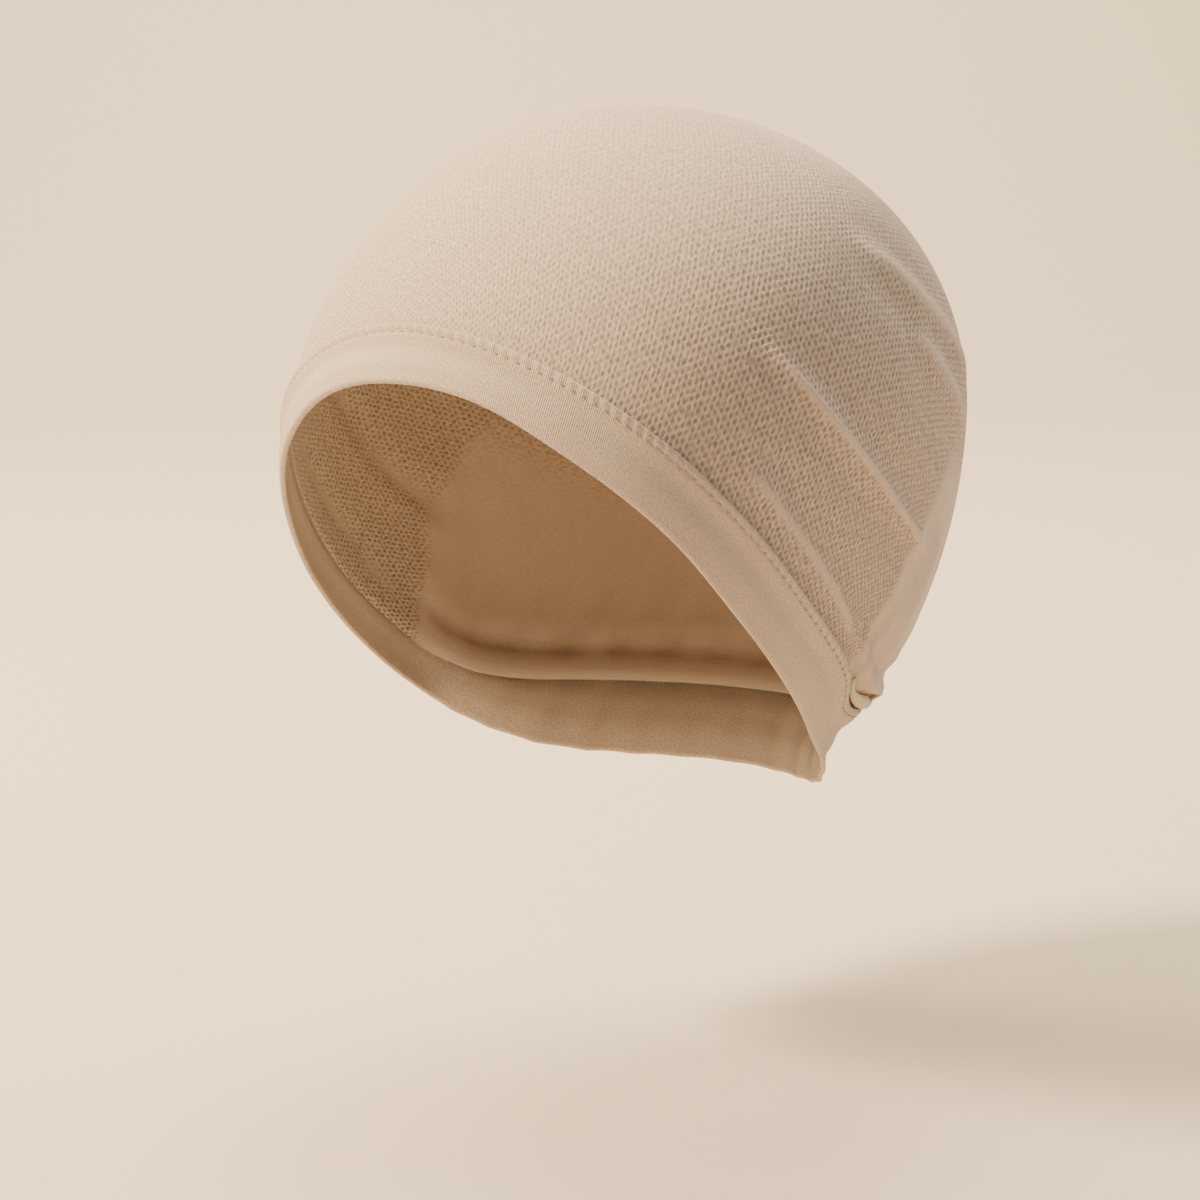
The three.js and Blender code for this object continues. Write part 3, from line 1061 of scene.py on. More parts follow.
@dataclass(frozen=True)
class StretchMeshFinish(ClothFinish):
    """Warp-knit mesh: staggered tall holes between soft yarns, which read as an open, elastic cloth."""

    relief: float = 0.16 * MM
    bump: float = 0.8
    patch_scale: float = 28.0
    patch_detail: float = 1.0
    patch_share: float = 0.12
    # A hole: its colour, painted shade that stands for the dark seen through the opening, how much of it
    # shows, its half sizes, its slant and how soft its rim is.
    hole: str = "#6A5C4D"
    hole_shade_strength: float = 0.8
    half_width: float = 0.54 * MM
    half_height: float = 0.95 * MM
    slant: float = -0.02
    rim: tuple[float, float] = (0.3, 1.25)
    # Unevenness: its scale, how far it moves a hole off its place, and how pale it leaves the palest one.
    uneven_scale: float = 0.9
    moved: tuple[float, float, float] = (0.9, 0.5, 0)
    palest: float = 0.55
    # Yarns: how far they lie aslant, how many go to a wale, and how bright they are where they lie smooth.
    lean: float = -0.2
    yarns_in_wale: float = 2.0
    grain_detail: float = 2.0
    smooth_bright: float = 0.62
    loose: tuple[float, float] = (-0.35, 0.7)
    yarn_height: float = 0.35

    def distance(self, tree: bpy.types.NodeTree, uv: object, shift: float) -> bpy.types.Node:
        """Measures from the middle of the nearest hole of one half of the lattice.

        Args:
            tree: The material's tree.
            uv: Place in the knit.
            shift: Shift of this half of the lattice.

        Returns:
            The distance, which is 1 at the hole's rim.
        """
        add = partial(add_node, tree)
        halved = add(VECTOR_MATH, uv, (0.5, 1, 0), operation="MULTIPLY")
        shifted = add(VECTOR_MATH, halved, (shift, shift, 0), operation="ADD")
        part = add(VECTOR_MATH, shifted, operation="FRACTION")
        away = add(VECTOR_MATH, part, (0.5, 0.5, 0), operation="SUBTRACT")
        pitches = (2 * KNIT.wale_pitch, KNIT.course_pitch, 0)
        real = add(SPLIT, add(VECTOR_MATH, away, pitches, operation="MULTIPLY"))
        across = add(MATH, real.outputs[1], -self.slant, real.outputs[0], operation="MULTIPLY_ADD")
        squares = []
        for value, half in ((across, self.half_width), (real.outputs[1], self.half_height)):
            squares.append(add(MATH, add(MATH, value, half, operation="DIVIDE"), 2.0, operation="POWER"))
        return add(MATH, add(MATH, *squares, operation="ADD"), operation="SQRT")

    def build(self) -> bpy.types.Material:
        """Makes the material, which reads how open the holes are from the mesh.

        Returns:
            The material.
        """
        material, tree, shader = self.start()
        add = partial(add_node, tree)
        uv = add("ShaderNodeUVMap", uv_map="knit")
        openness = add("ShaderNodeAttribute", attribute_name="openness").outputs["Fac"]
        # Hand-stretched cloth is uneven: each hole lies a little off its place and is more or less dark.
        uneven = add(NOISE, inputs={"Vector": uv, "Scale": self.uneven_scale, "Detail": 1.0})
        aside = add(VECTOR_MATH, uneven.outputs[1], (0.5, 0.5, 0.5), operation="SUBTRACT")
        moved = add(VECTOR_MATH, aside, self.moved, operation="MULTIPLY")
        placed = add(VECTOR_MATH, uv, moved, operation="ADD")
        halves = [self.distance(tree, placed, shift) for shift in (0.5, 0.0)]
        nearest = add(MATH, *halves, operation="MINIMUM")
        outside = add(RANGE, nearest, *self.rim, interpolation_type=EASED)
        hole = add(MATH, 1.0, outside, operation="SUBTRACT")
        darkness = add(RANGE, uneven, *self.patch_range, interpolation_type=EASED)
        depth = add(MATH, darkness, 1 - self.palest, self.palest, operation="MULTIPLY_ADD")
        deep = add(MATH, hole, depth, operation="MULTIPLY")
        open_hole = add(MATH, deep, openness, operation="MULTIPLY")
        # Yarns half a wale wide, drawn out aslant along it, give the light grain between the holes.
        # Its colour follows its height: lighter on top and painted shade in the hollows.
        parts = add(SPLIT, uv)
        leaning = add(MATH, parts.outputs[1], self.lean, parts.outputs[0], operation="MULTIPLY_ADD")
        narrow = add(MATH, leaning, self.yarns_in_wale, operation="MULTIPLY")
        drawn = add("ShaderNodeCombineXYZ", narrow, parts.outputs[1])
        grain = add(NOISE, inputs={"Vector": drawn, "Scale": 1.0, "Detail": self.grain_detail})
        # Where the cloth is pulled shut its grain is smoother too.
        light = add(RANGE, grain, *self.noise_range, interpolation_type=EASED)
        rough = add(MATH, light, self.smooth_bright, operation="SUBTRACT")
        looseness = add(RANGE, openness, *self.loose, interpolation_type=EASED)
        loose = add(MATH, rough, looseness, operation="MULTIPLY")
        bright = add(MATH, loose, self.smooth_bright, operation="ADD")
        sockets = {SHARE: bright, COLOUR_A: to_linear(self.shade), COLOUR_B: to_linear(self.yarn)}
        yarn = add(MIX, inputs=sockets, data_type="RGBA").outputs[MIXED]
        # The holes' colour is painted shade, laid on as far as they are open.
        strength = add(MATH, open_hole, self.hole_shade_strength, operation="MULTIPLY")
        sunk = add(MATH, open_hole, -1.0, operation="MULTIPLY")
        height = add(MATH, bright, self.yarn_height, sunk, operation="MULTIPLY_ADD")
        self.join(tree, shader, yarn, height, (strength, to_linear(self.hole)))
        return material


@dataclass(frozen=True)
class FineKnitFinish(ClothFinish):
    """Fine rib knit: hair-thin ribs and soft unevenness, which read as smooth stretch cloth."""

    relief: float = 0.09 * MM
    rib_pitch: float = 0.55 * MM
    course_pitch: float = 0.42 * MM
    rib_height: float = 0.6
    course_height: float = 0.3
    grain_height: float = 2.0
    grain_scale: float = 0.9
    grain_detail: float = 3.0

    def build(self) -> bpy.types.Material:
        """Makes the material. Its texture coordinates count ribs along the piece and courses across it.

        Returns:
            The material.
        """
        material, tree, shader = self.start()
        add = partial(add_node, tree)
        uv = add("ShaderNodeUVMap", uv_map="knit")
        waves = []
        for count in add(SPLIT, uv).outputs[:2]:
            waves.append(add(MATH, add(MATH, count, FULL_TURN, operation="MULTIPLY"), operation="COSINE"))
        course = add(MATH, waves[1], self.course_height, operation="MULTIPLY")
        woven = add(MATH, waves[0], self.rib_height, course, operation="MULTIPLY_ADD")
        grain = add(NOISE, inputs={"Vector": uv, "Scale": self.grain_scale, "Detail": self.grain_detail})
        height = add(MATH, grain, self.grain_height, woven, operation="MULTIPLY_ADD")
        # The colour follows the grain that raises the bump: lighter on top and painted shade in the hollows.
        bright = add(RANGE, grain, *self.noise_range, interpolation_type=EASED)
        sockets = {SHARE: bright, COLOUR_A: to_linear(self.shade), COLOUR_B: to_linear(self.yarn)}
        self.join(tree, shader, add(MIX, inputs=sockets, data_type="RGBA").outputs[MIXED], height)
        return material


@dataclass(frozen=True)
class PlainFinish(ClothFinish):
    """One even colour, for thread and for the studio."""

    def build(self) -> bpy.types.Material:
        """Makes the material.

        Returns:
            The material.
        """
        material, _, shader = self.start()
        shader.inputs["Base Color"].default_value = to_linear(self.yarn)
        return material


# Each cloth's shade colour is painted shade in its grain's hollows, under yarn lit on top.
MESH_FINISH = StretchMeshFinish("stretch mesh", "#CFBCA9", "#A69382", 0.9, 0.2)
BAND_FINISH = FineKnitFinish("smooth knit band", "#D0BEAC", "#AA9783", 0.8, 0.2)
ELASTIC_FINISH = FineKnitFinish("soft elastic", "#D4C9AF", "#BAAD92", 0.8, 0.3, relief=0.08 * MM)
# The thread is darker than the band: its colour also paints in the shade of the needle holes along the seam.
THREAD_FINISH = PlainFinish("topstitch thread", "#A08A6E", "#B7A386", 0.7, 0.3)
FLOOR_FINISH = PlainFinish("cream paper sweep", "#CFC5B3", "#CFC5B3", 0.95, 0.0)


# ---------- pieces


@dataclass
class Crown:
    """The stretch mesh dome, with its folds, nape gathers and a hem hidden behind the band."""

    knit: KnitMap = KNIT
    wall: float = 1.1 * MM
    hem_above: float = -5 * MM
    # The folds fade out between these distances above the band.
    folds_fade: tuple[float, float] = (1 * MM, 9 * MM)
    # The triangles are finer within these distances of the long fold, the other folds and the nape's lobe.
    crease_reach: float = 3.6 * MM
    fine_reach: float = 1.9 * MM
    fold_reach: float = 2.6 * MM
    lobe_reach: float = 11.5 * MM
    lobe_turn: float = 94.0
    inner_columns: int = 248
    inner_rings: int = 40
    inner_crowding: float = 0.3
    # The holes are tighter just above the nape's lobe, towards the front and on the top, and wider low down.
    # The painted shade in the holes follows, so it is lighter towards the lit front and darker low down.
    tight_share: float = 0.4
    tight_above: tuple[float, float] = (9 * MM, 26 * MM)
    front_share: float = 0.35
    front_turns: tuple[float, float] = (5, 75)
    front_lean: float = 0.45
    top_share: float = 0.45
    top_heights: tuple[float, float] = (30 * MM, 80 * MM)
    low_share: float = 0.25
    low_depths: tuple[float, float] = (22 * MM, 50 * MM)

    def offset(self, base: Points) -> Values:
        """Gives how far the outer face stands off the worn form.

        Args:
            base: Points of the worn form.

        Returns:
            Distances outwards.
        """
        polar, around = FORM.to_pole(base)
        above = EDGES.above(polar, around)
        folds = sum(fold.offset(base) for fold in FOLDS) * smoothstep(above, *self.folds_fade)
        return folds + GATHERS.crown_offset(FORM.turn(base), around, above)

    def openness(self, base: Points) -> Values:
        """Gives how far the holes are open: shut on crests and on the strip at the back.

        Args:
            base: Points of the worn form.

        Returns:
            Shares from 0, shut, to about 1.
        """
        above, turn, height = EDGES.above(*FORM.to_pole(base)), FORM.turn(base), base[:, 2]
        folds = np.prod([fold.openness(base) for fold in FOLDS], axis=0)
        # The front and low shares also set the holes' painted shade: lighter towards the lit front, darker
        # low down where shade falls.
        top = 1 - self.top_share * smoothstep(height, *self.top_heights)
        low = 1 + self.low_share * smoothstep(-height, *self.low_depths)
        tight = 1 - self.tight_share * (GATHERS.share(turn) * (1 - smoothstep(above, *self.tight_above)))
        stretched = smoothstep(turn - self.front_lean * height / MM, *self.front_turns)
        front = 1 - self.front_share + self.front_share * stretched
        return folds * top * low * tight * (1 - GATHERS.closed(turn, height)) * front

    def refined(self, cloth: TriangleCloth) -> TriangleCloth:
        """Makes the cloth finer along the folds and at the nape's lobe, and finer again on the sharp crease.

        Args:
            cloth: The plain lattice.

        Returns:
            The finer cloth.
        """
        above = EDGES.above(*FORM.to_pole(cloth.base))
        wanted = (FORM.turn(cloth.base) > self.lobe_turn) & (above < self.lobe_reach) & (above > 0)
        for fold in (LONG_FOLD, BAND_FOLD, UPPER_BACK_FOLD, SECOND_BACK_FOLD):
            reach = self.crease_reach if fold is LONG_FOLD else self.fold_reach
            wanted |= fold.path.nearest(cloth.base)[0] < reach
        cloth = cloth.refined(wanted)
        return cloth.refined(LONG_FOLD.path.nearest(cloth.base)[0] < self.fine_reach)

    def inner_face(self) -> tuple[Points, np.ndarray, np.ndarray]:
        """Lays out the inner face.

        Returns:
            Its points on the worn form, the pole first, its four-sided faces and the triangles at the pole.
        """
        around = column_angles(self.inner_columns)
        hem = EDGES.above_upper(around, self.hem_above)
        even = np.arange(1, self.inner_rings + 1) / self.inner_rings
        share = even * (1 + self.inner_crowding * (1 - even))
        rings = FORM.from_pole(share[:, None] * hem[None, :], around[None, :]).reshape(-1, 3)
        pole = FORM.from_pole(np.zeros(1), np.zeros(1))
        quads = ring_faces(self.inner_rings, self.inner_columns, 1, Side.INNER)
        ring = 1 + np.arange(self.inner_columns)
        cap = np.stack([np.zeros_like(ring), np.roll(ring, -1), ring], -1)
        return np.concatenate([pole, rings]), quads, cap

    def build(self) -> bpy.types.Object:
        """Makes the crown as one closed shell, with the knit's pattern and how open its holes are.

        Returns:
            The piece.
        """
        cloth = self.refined(knit_lattice(self.knit, self.hem_above))
        rim = cloth.rim()
        _, rim_around = FORM.to_pole(cloth.base[rim])
        cloth.base[rim] = FORM.from_pole(EDGES.above_upper(rim_around, self.hem_above), rim_around)
        openness = self.openness(cloth.base)
        stand = self.offset(cloth.base) - self.knit.hole_depth * cloth.pit * openness
        outer = cloth.base + FORM.normal(cloth.base) * stand[:, None]
        inner_base, quads, cap = self.inner_face()
        inner = inner_base + FORM.normal(inner_base) * (self.offset(inner_base) - self.wall)[:, None]
        start, points = len(outer), np.concatenate([outer, inner])
        rim_around = FORM.to_pole(points[rim])[1]
        first = int(np.argmin(np.minimum(rim_around, FULL_TURN - rim_around)))
        inner_rim = list(range(len(points) - self.inner_columns, len(points)))
        strip = zipped(rim[first:] + rim[:first], inner_rim, points)
        faces = cloth.triangles.tolist() + (quads + start).tolist() + (cap + start).tolist() + strip
        obj = mesh_object("crown_mesh", points, faces, MESH_FINISH.build())
        directions = unit(inner_base)
        inside = [self.knit.face_pattern(directions, rows) for rows in (quads, cap)]
        plain = np.zeros((3 * len(strip), 2))
        set_pattern(obj, np.concatenate([cloth.pattern.reshape(-1, 2), *inside, plain]))
        layer = obj.data.attributes.new("openness", "FLOAT", "POINT")
        values = np.concatenate([openness, self.openness(inner_base)])
        layer.data.foreach_set("value", values.astype(np.float32))
        LOG.info("crown: %d holes, %d faces", int((cloth.pit == 1).sum()), len(faces))
        return obj


@dataclass
class Band:
    """The folded knit binding: rounded edges, a sunk seam below its upper edge and ruffles at the nape."""

    wall: float = 1.5 * MM
    columns: int = 960
    # The stitched seam, with a lump between each two stitches above it that fades below it.
    seam_below: float = 2.3 * MM
    seam_width: float = 0.5 * MM
    seam_depth: float = 0.28 * MM
    stitch_pitch: float = 2.9 * MM
    lump_rise: float = 0.17 * MM
    lump_fade: tuple[float, float] = (0.8, 1.5)
    # The soft hollow along the band, and the edge of the folded cloth near its lower edge.
    hollow_share: float = 0.38
    hollow_width: float = 3.0 * MM
    hollow_depth: float = 1.0 * MM
    fold_above: float = 1.1 * MM
    fold_width: float = 0.6 * MM
    fold_rise: float = 0.16 * MM
    near_seam_mm: tuple[float, ...] = (1.15, 1.55, 1.85, 2.08, 2.3, 2.52, 2.75, 3.05, 3.5)
    main_rings: int = 20
    inner_rings: int = 8
    rim_rings: int = 4
    # How far the outer face stands off the worn form at shares of the width, at the side and at the nape.
    shares: tuple[float, ...] = (0, 0.22, 0.48, 0.72, 0.88, 1)
    side_mm: tuple[float, ...] = (1.9, 1.9, 1.8, 1.6, 1.4, 1.2)
    nape_mm: tuple[float, ...] = (-1.0, -1.2, -2.1, -1.5, 0.9, 2.9)

    def place(self, around: Values, down: Values, deep: Values) -> Points:
        """Gives points of the band.

        Args:
            around: Angles about the pole.
            down: Distances below the upper edge.
            deep: Depths below the outer face.

        Returns:
            The points.
        """
        upper, lower, width = EDGES.upper(around), EDGES.lower(around), self.width(around)
        share = down / width
        base = FORM.from_pole(upper + (lower - upper) * share, around)
        turn = FORM.turn(base)
        gathered = GATHERS.share(turn)
        rows = (self.side_mm, self.nape_mm)
        side, nape = (np.interp(share, self.shares, np.array(row) * MM) for row in rows)
        offset = side * (1 - gathered) + nape * gathered + GATHERS.band_offset(turn, around, share)
        for rise, away, reach in (
            (-self.seam_depth, down - self.seam_below, self.seam_width),
            (-self.hollow_depth, down - self.hollow_share * width, self.hollow_width),
            (self.fold_rise, width - down - self.fold_above, self.fold_width),
        ):
            offset = offset + rise * np.exp(-((away / reach) ** 2))
        puckers = np.cos(FULL_TURN * self.stitch_count() * self.travelled(around))
        above_seam = 1 - smoothstep(down, *(share * self.seam_below for share in self.lump_fade))
        offset = offset - self.lump_rise * puckers * above_seam
        return base + FORM.normal(base) * (offset - deep)[:, None]

    def travelled(self, around: Values) -> Values:
        """Gives the share of the way round the upper edge."""
        travel, _ = EDGES.travel()
        return np.interp(around % FULL_TURN, EDGES.around, travel, right=1.0)

    def stitch_count(self) -> int:
        """Gives the number of stitches that fit round the seam."""
        return round(EDGES.travel()[1] / self.stitch_pitch)

    def width(self, around: Values) -> Values:
        """Gives the band's width along the cloth."""
        top, foot = FORM.from_pole(EDGES.upper(around), around), FORM.from_pole(EDGES.lower(around), around)
        return np.linalg.norm(top - foot, axis=-1)

    def section(self, width: Values) -> list[tuple[Values, float]]:
        """Gives the band's section, round from the seam's side.

        Args:
            width: The band's width at each column.

        Returns:
            Rings, each as distances down and a depth.
        """
        edge = self.wall / 2
        near = [np.full_like(width, place * MM) for place in self.near_seam_mm]
        start, end = near[-1], width - edge
        main = [start + (end - start) * i / self.main_rings for i in range(1, self.main_rings + 1)]
        bends = [math.pi * i / self.rim_rings for i in range(1, self.rim_rings + 1)]
        back = [end + (edge - end) * i / self.inner_rings for i in range(1, self.inner_rings + 1)]
        rings = [(down, 0.0) for down in (np.full_like(width, edge), *near, *main)]
        rings += [(end + edge * math.sin(bend), edge * (1 - math.cos(bend))) for bend in bends]
        rings += [(down, self.wall) for down in back]
        for bend in bends[:-1]:
            rings.append((np.full_like(width, edge - edge * math.sin(bend)), edge * (1 + math.cos(bend))))
        return rings

    def build(self) -> bpy.types.Object:
        """Makes the band as one closed tube of cloth round the opening.

        Returns:
            The piece.
        """
        around = column_angles(self.columns)
        width = self.width(around)
        rings = self.section(width)
        points = np.concatenate([self.place(around, down, np.full_like(width, deep)) for down, deep in rings])
        last = (len(rings) - 1) * self.columns
        i = np.arange(self.columns)
        j = (i + 1) % self.columns
        joined = np.stack([last + i, i, j, last + j], -1)
        faces = np.concatenate([ring_faces(len(rings), self.columns), joined])
        obj = mesh_object("band_knit", points, faces.tolist(), BAND_FINISH.build())
        travel = path_lengths(points[: self.columns])
        total = travel[-1] + np.linalg.norm(points[self.columns - 1] - points[0])
        ribs = round(total / BAND_FINISH.rib_pitch)
        along = np.append(travel / total * ribs, ribs)
        down = np.stack([np.broadcast_to(ring[0], width.shape) / BAND_FINISH.course_pitch for ring in rings])
        down = np.concatenate([down, down[:1] + self.wall / BAND_FINISH.course_pitch])
        down = np.concatenate([down, down[:, :1]], axis=1)
        set_pattern(obj, ring_pattern(np.broadcast_to(along, down.shape), down))
        sizes = [size / MM for size in (total, width.min(), width.max())]
        LOG.info("band: %d faces, %.0f mm round, %.1f to %.1f mm wide", len(faces), *sizes)
        return obj


@dataclass
class NapeElastic:
    """The pale soft roll that draws in the nape, ribbed across."""

    # Turns in degrees at which it starts, and over which it grows to its full size.
    start: float = 98.0
    taper: float = 20.0
    end_size: float = 0.35
    end_sunk: float = 0.7 * MM
    half_height: float = 1.9 * MM
    half_depth: float = 1.6 * MM
    above: float = 2.3 * MM
    clearance: float = 0.3 * MM
    rib_pitch: float = 1.5 * MM
    rib_depth: float = 0.1 * MM
    steps: int = 640
    sides: int = 20

    def build(self) -> bpy.types.Object:
        """Makes the roll.

        Returns:
            The piece.
        """
        turn = np.linspace(self.start, 360 - self.start, self.steps + 1)
        side = np.minimum(turn, 360 - turn)
        size = self.end_size + (1 - self.end_size) * smoothstep(side, self.start, self.start + self.taper)
        edge = EDGES.upper_point(turn)
        out = FORM.normal(edge)
        up = np.cross(out, unit(EDGES.upper_point(turn + 1) - edge))
        away = float(GATHERS.profile(self.above)) * GATHERS.share(side) + self.clearance + self.half_depth
        away = away - self.end_sunk * (1 - size) / (1 - self.end_size)
        middle = edge + up * self.above + out * away[:, None]
        travel = path_lengths(middle)
        rib = -self.rib_depth * (0.5 + 0.5 * np.cos(FULL_TURN * travel / self.rib_pitch))
        angle = np.arange(self.sides) * FULL_TURN / self.sides
        points = middle[:, None, :]
        across, high = (out, self.half_depth, np.cos(angle)), (up, self.half_height, np.sin(angle))
        for axis, half, wave in (across, high):
            points = points + axis[:, None, :] * ((size * half + rib)[:, None] * wave)[..., None]
        faces = ring_faces(self.steps + 1, self.sides).tolist()
        faces.append(list(reversed(range(self.sides))))
        faces.append([self.steps * self.sides + i for i in range(self.sides)])
        obj = mesh_object("nape_elastic_roll", points.reshape(-1, 3), faces, ELASTIC_FINISH.build())
        ribs, courses = travel / ELASTIC_FINISH.rib_pitch, np.arange(self.sides + 1.0)
        ribs, courses = np.meshgrid(ribs, courses, indexing="ij")
        set_pattern(obj, np.concatenate([ring_pattern(ribs, courses), np.zeros((2 * self.sides, 2))]))
        LOG.info("elastic: %d faces, %.0f mm long", len(faces), travel[-1] / MM)
        return obj


@dataclass
class Topstitch:
    """The row of short stitches in the band's seam, laid by geometry nodes along a line on the cloth."""

    band: Band
    length: float = 1.3 * MM
    width: float = 0.42 * MM
    height: float = 0.36 * MM
    lift: float = 0.05 * MM
    unevenness: float = 0.15
    seed: int = 7
    line_points: int = 1440
    ball_segments: int = 8
    ball_rings: int = 6

    def node_group(self) -> bpy.types.NodeTree:
        """Makes the node group: points along the line, a small rounded stitch on each, joined into one mesh.

        Returns:
            The node group.
        """
        tree = bpy.data.node_groups.new("topstitch", "GeometryNodeTree")
        add = partial(add_node, tree)
        for name, side, kind in (
            ("Line", "INPUT", "Geometry"),
            ("Stitch spacing", "INPUT", "Float"),
            ("Stitch size", "INPUT", "Vector"),
            ("Unevenness", "INPUT", "Float"),
            ("Seed", "INPUT", "Int"),
            ("Thread", "INPUT", "Material"),
            ("Stitches", "OUTPUT", "Geometry"),
        ):
            tree.interface.new_socket(name, in_out=side, socket_type="NodeSocket" + kind)
        given = add("NodeGroupInput").outputs
        curve = add("GeometryNodeMeshToCurve", given["Line"])
        sockets = {"Curve": curve, "Length": given["Stitch spacing"]}
        even = add("GeometryNodeResampleCurve", inputs=sockets, mode="LENGTH")
        out = add("GeometryNodeInputNamedAttribute", inputs={"Name": "out"}, data_type="FLOAT_VECTOR")
        tangent = add("GeometryNodeInputTangent")
        axes = add("FunctionNodeAxesToRotation", out, tangent, primary_axis="Z", secondary_axis="X")
        sockets = {"Segments": self.ball_segments, "Rings": self.ball_rings, "Radius": 0.5}
        ball = add("GeometryNodeMeshUVSphere", inputs=sockets)
        low, high = (add(MATH, 1.0, given["Unevenness"], operation=kind) for kind in ("SUBTRACT", "ADD"))
        # A random node has inputs for each type of value, and 2 and 3 are the limits of a plain number.
        sockets = {"Seed": given["Seed"], 2: low, 3: high}
        varied = add("FunctionNodeRandomValue", inputs=sockets, data_type="FLOAT").outputs[1]
        size = add(VECTOR_MATH, given["Stitch size"], inputs={"Scale": varied}, operation="SCALE")
        sockets = {"Points": even, "Instance": ball, "Rotation": axes, "Scale": size}
        laid = add("GeometryNodeRealizeInstances", add("GeometryNodeInstanceOnPoints", inputs=sockets))
        sockets = {"Geometry": add("GeometryNodeSetShadeSmooth", laid), "Material": given["Thread"]}
        add("NodeGroupOutput", add("GeometryNodeSetMaterial", inputs=sockets))
        return tree

    def build(self) -> bpy.types.Object:
        """Lays the stitches and makes them a plain mesh.

        Returns:
            The piece.
        """
        around = column_angles(self.line_points)
        below, deep = (np.full_like(around, depth) for depth in (self.band.seam_below, -self.lift))
        points = self.band.place(around, below, deep)
        mesh = bpy.data.meshes.new("stitch line")
        edges = [(i, (i + 1) % self.line_points) for i in range(self.line_points)]
        mesh.from_pydata(points.tolist(), edges, [])
        layer = mesh.attributes.new("out", "FLOAT_VECTOR", "POINT")
        layer.data.foreach_set("vector", FORM.normal(points).astype(np.float32).ravel())
        line = add_object("stitch line", mesh)
        length = float(np.linalg.norm(np.roll(points, -1, axis=0) - points, axis=1).sum())
        modifier = line.modifiers.new("stitches", "NODES")
        modifier.node_group = self.node_group()
        values = {
            "Stitch spacing": length / self.band.stitch_count(),
            "Stitch size": (self.length, self.width, self.height),
            "Unevenness": self.unevenness,
            "Seed": self.seed,
            "Thread": THREAD_FINISH.build(),
        }
        for item in modifier.node_group.interface.items_tree:
            if item.in_out == "INPUT" and item.name in values:
                modifier[item.identifier] = values[item.name]
        evaluated = line.evaluated_get(bpy.context.evaluated_depsgraph_get())
        made = bpy.data.meshes.new_from_object(evaluated)
        made.name = "band_topstitch"
        obj = add_object("band_topstitch", made)
        bpy.data.objects.remove(line)
        LOG.info("topstitch: %d faces", len(made.polygons))
        return obj


# ---------- studio


@dataclass(frozen=True)
class AreaLight:
    """A soft square light that looks at the cap.

    Args:
        name: Its name.
        place: Its distances to the camera's right, up and towards the camera.
        size: The length of its side.
        power: Its power in watts.
        colour: Its sRGB hex colour.
        aim: What it looks at, as the same three distances.
    """

    name: str
    place: tuple[float, float, float]
    size: float
    power: float
    colour: str
    aim: tuple[float, float, float] = (0.0, 0.0, 0.0)


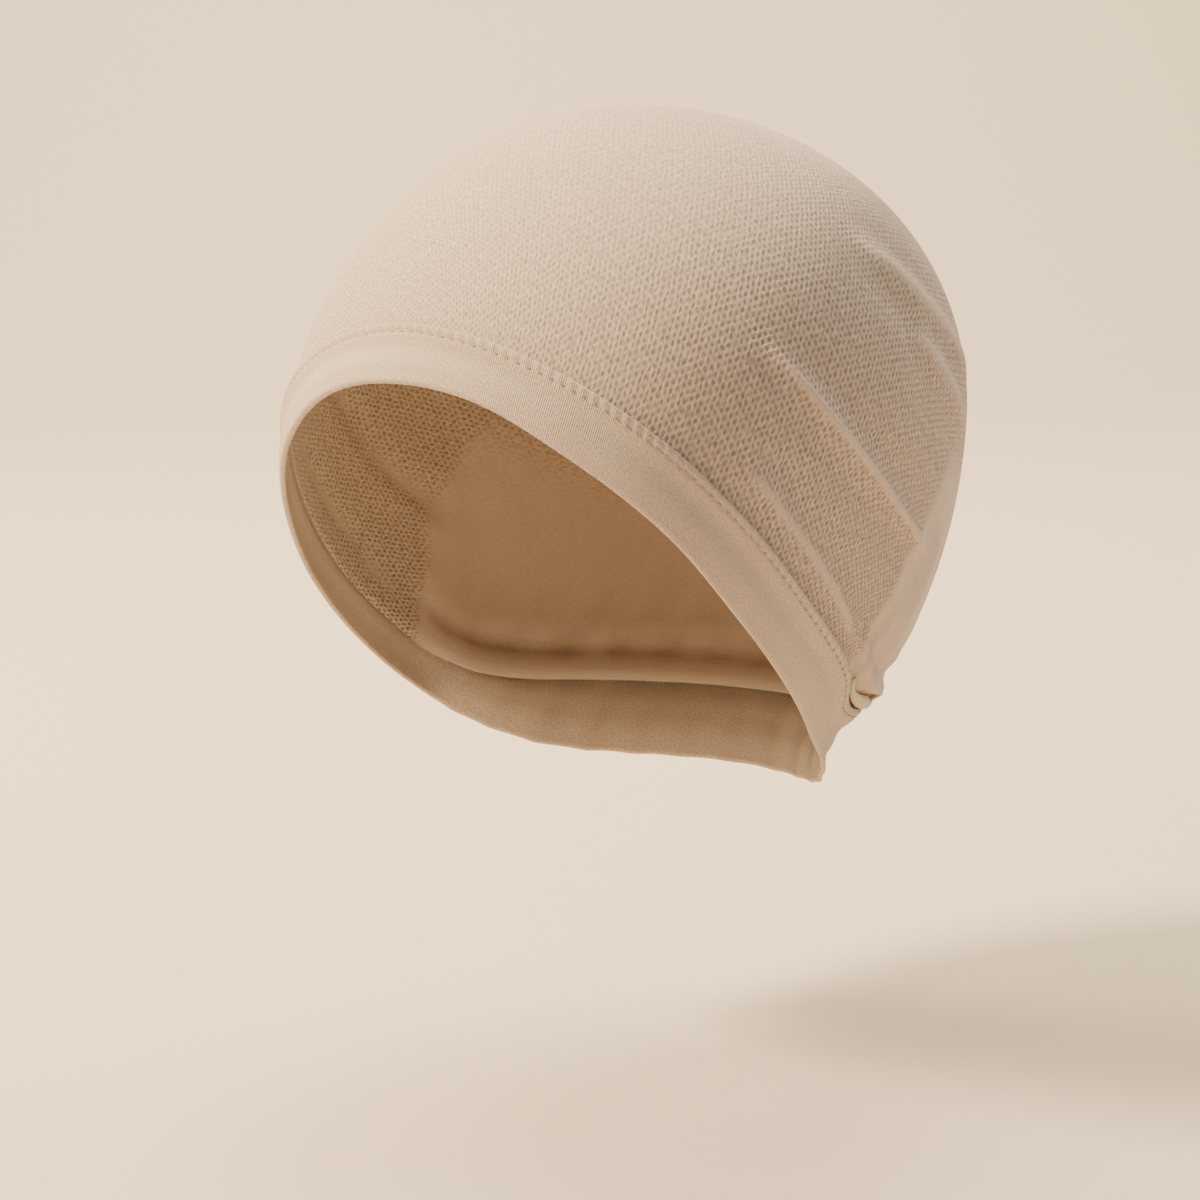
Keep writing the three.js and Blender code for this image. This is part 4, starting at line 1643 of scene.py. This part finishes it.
@dataclass(frozen=True)
class Studio:
    """The pale sweep, the soft lights and the camera."""

    azimuth: float = math.radians(37.05)
    elevation: float = math.radians(9.08)
    roll: float = math.radians(-1.067)
    distance: float = 725.3 * MM
    target_right: float = -4.56 * MM
    target_up: float = -43.7 * MM
    lens_angle: float = math.radians(24)
    sensor_mm: float = 36.0
    floor_height: float = -172 * MM
    sweep_back: float = 1.9
    sweep_radius: float = 1.3
    sweep_front: float = 3.0
    sweep_height: float = 3.5
    sweep_width: float = 9.0
    sweep_steps: int = 24
    room_light: str = "#DCE7F6"
    room_strength: float = 0.3
    lights: tuple[AreaLight, ...] = (
        AreaLight("key light", (-1.45, 1.4, 0.6), 0.45, 152, "#FFE3BD"),
        AreaLight("back fill", (1.3, 1.3, -0.7), 1.2, 14, "#FFF4EA"),
        AreaLight("side fill", (1.7, 0.2, 0.7), 0.8, 4.5, "#C4DAF4"),
        AreaLight("backdrop light", (-0.4, 2.6, -0.6), 2.0, 238, "#FFE6BE", (0.2, 0.6, -3.0)),
    )

    def axes(self) -> tuple[Vector, Vector, Vector]:
        """Works out the camera's directions, before its roll.

        Returns:
            Its right, up and forward directions.
        """
        az, el = self.azimuth, self.elevation
        forward = Vector((-math.sin(az) * math.cos(el), math.cos(az) * math.cos(el), -math.sin(el)))
        right = Vector((math.cos(az), math.sin(az), 0))
        return right, right.cross(forward), forward

    def add_camera(self) -> None:
        """Adds the camera of the main view."""
        right, up, forward = self.axes()
        data = bpy.data.cameras.new("main camera")
        data.sensor_width = data.sensor_height = self.sensor_mm
        data.angle = self.lens_angle
        camera = add_object("main camera", data)
        turned_right = right * math.cos(self.roll) + up * math.sin(self.roll)
        turned_up = up * math.cos(self.roll) - right * math.sin(self.roll)
        basis = Matrix((turned_right, turned_up, -forward)).transposed().to_4x4()
        basis.translation = right * self.target_right + up * self.target_up - forward * self.distance
        camera.matrix_world = basis
        bpy.context.scene.camera = camera

    def add_light(self, lamp: AreaLight) -> None:
        """Adds one light.

        Args:
            lamp: What it is.
        """
        right, up, forward = self.axes()
        where, aim = (right * x + up * y - forward * z for x, y, z in (lamp.place, lamp.aim))
        data = bpy.data.lights.new(lamp.name, "AREA")
        data.energy, data.size, data.color = lamp.power, lamp.size, to_linear(lamp.colour)[:3]
        light = add_object(lamp.name, data)
        light.location = where
        light.rotation_euler = (aim - where).to_track_quat("-Z", "Y").to_euler()

    def add_sweep(self) -> None:
        """Adds the floor, which curves up into a wall behind the cap."""
        profile = [(-self.sweep_front, 0.0), (self.sweep_back, 0.0)]
        for i in range(1, self.sweep_steps + 1):
            angle = math.pi / 2 * i / self.sweep_steps
            rise = self.sweep_radius * (1 - math.cos(angle))
            profile.append((self.sweep_back + self.sweep_radius * math.sin(angle), rise))
        profile.append((self.sweep_back + self.sweep_radius, self.sweep_height))
        ahead = np.array([-math.sin(self.azimuth), math.cos(self.azimuth), 0])
        across = np.array([math.cos(self.azimuth), math.sin(self.azimuth), 0])
        points = []
        for away, up in profile:
            middle = ahead * away + np.array([0, 0, self.floor_height + up])
            points += [middle + across * side * self.sweep_width for side in (-0.5, 0.5)]
        faces = [(2 * i, 2 * i + 1, 2 * i + 3, 2 * i + 2) for i in range(len(profile) - 1)]
        mesh_object("floor", np.array(points), faces, FLOOR_FINISH.build())

    def build(self) -> None:
        """Adds everything round the cap."""
        self.add_camera()
        self.add_sweep()
        for lamp in self.lights:
            self.add_light(lamp)
        world = bpy.data.worlds.new("pale room")
        world.use_nodes = True
        background = world.node_tree.nodes["Background"]
        background.inputs["Color"].default_value = to_linear(self.room_light)
        background.inputs["Strength"].default_value = self.room_strength
        bpy.context.scene.world = world


@dataclass
class WigCap:
    """The cap, with each of its pieces."""

    crown: Crown = field(default_factory=Crown)
    band: Band = field(default_factory=Band)
    elastic: NapeElastic = field(default_factory=NapeElastic)

    def build(self) -> None:
        """Makes the pieces, hangs each one on the root and hides the part of model.glb that it stands for."""
        crown, band, elastic = self.crown.build(), self.band.build(), self.elastic.build()
        stitches = Topstitch(self.band).build()
        for piece, node, slot in (
            (crown, "crown", "stretch_mesh"),
            (band, "band", "knit_band"),
            (elastic, "nape_elastic", "soft_elastic"),
            (stitches, None, "knit_band"),
        ):
            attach(piece, "root")
            if node:
                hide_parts(node)


def main() -> None:
    """Builds the cap and its studio, each piece logging its size as it is made."""
    logging.basicConfig(level=logging.INFO, format="%(message)s")
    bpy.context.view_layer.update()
    WigCap().build()
    Studio().build()
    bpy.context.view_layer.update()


if __name__ == "__main__":
    main()
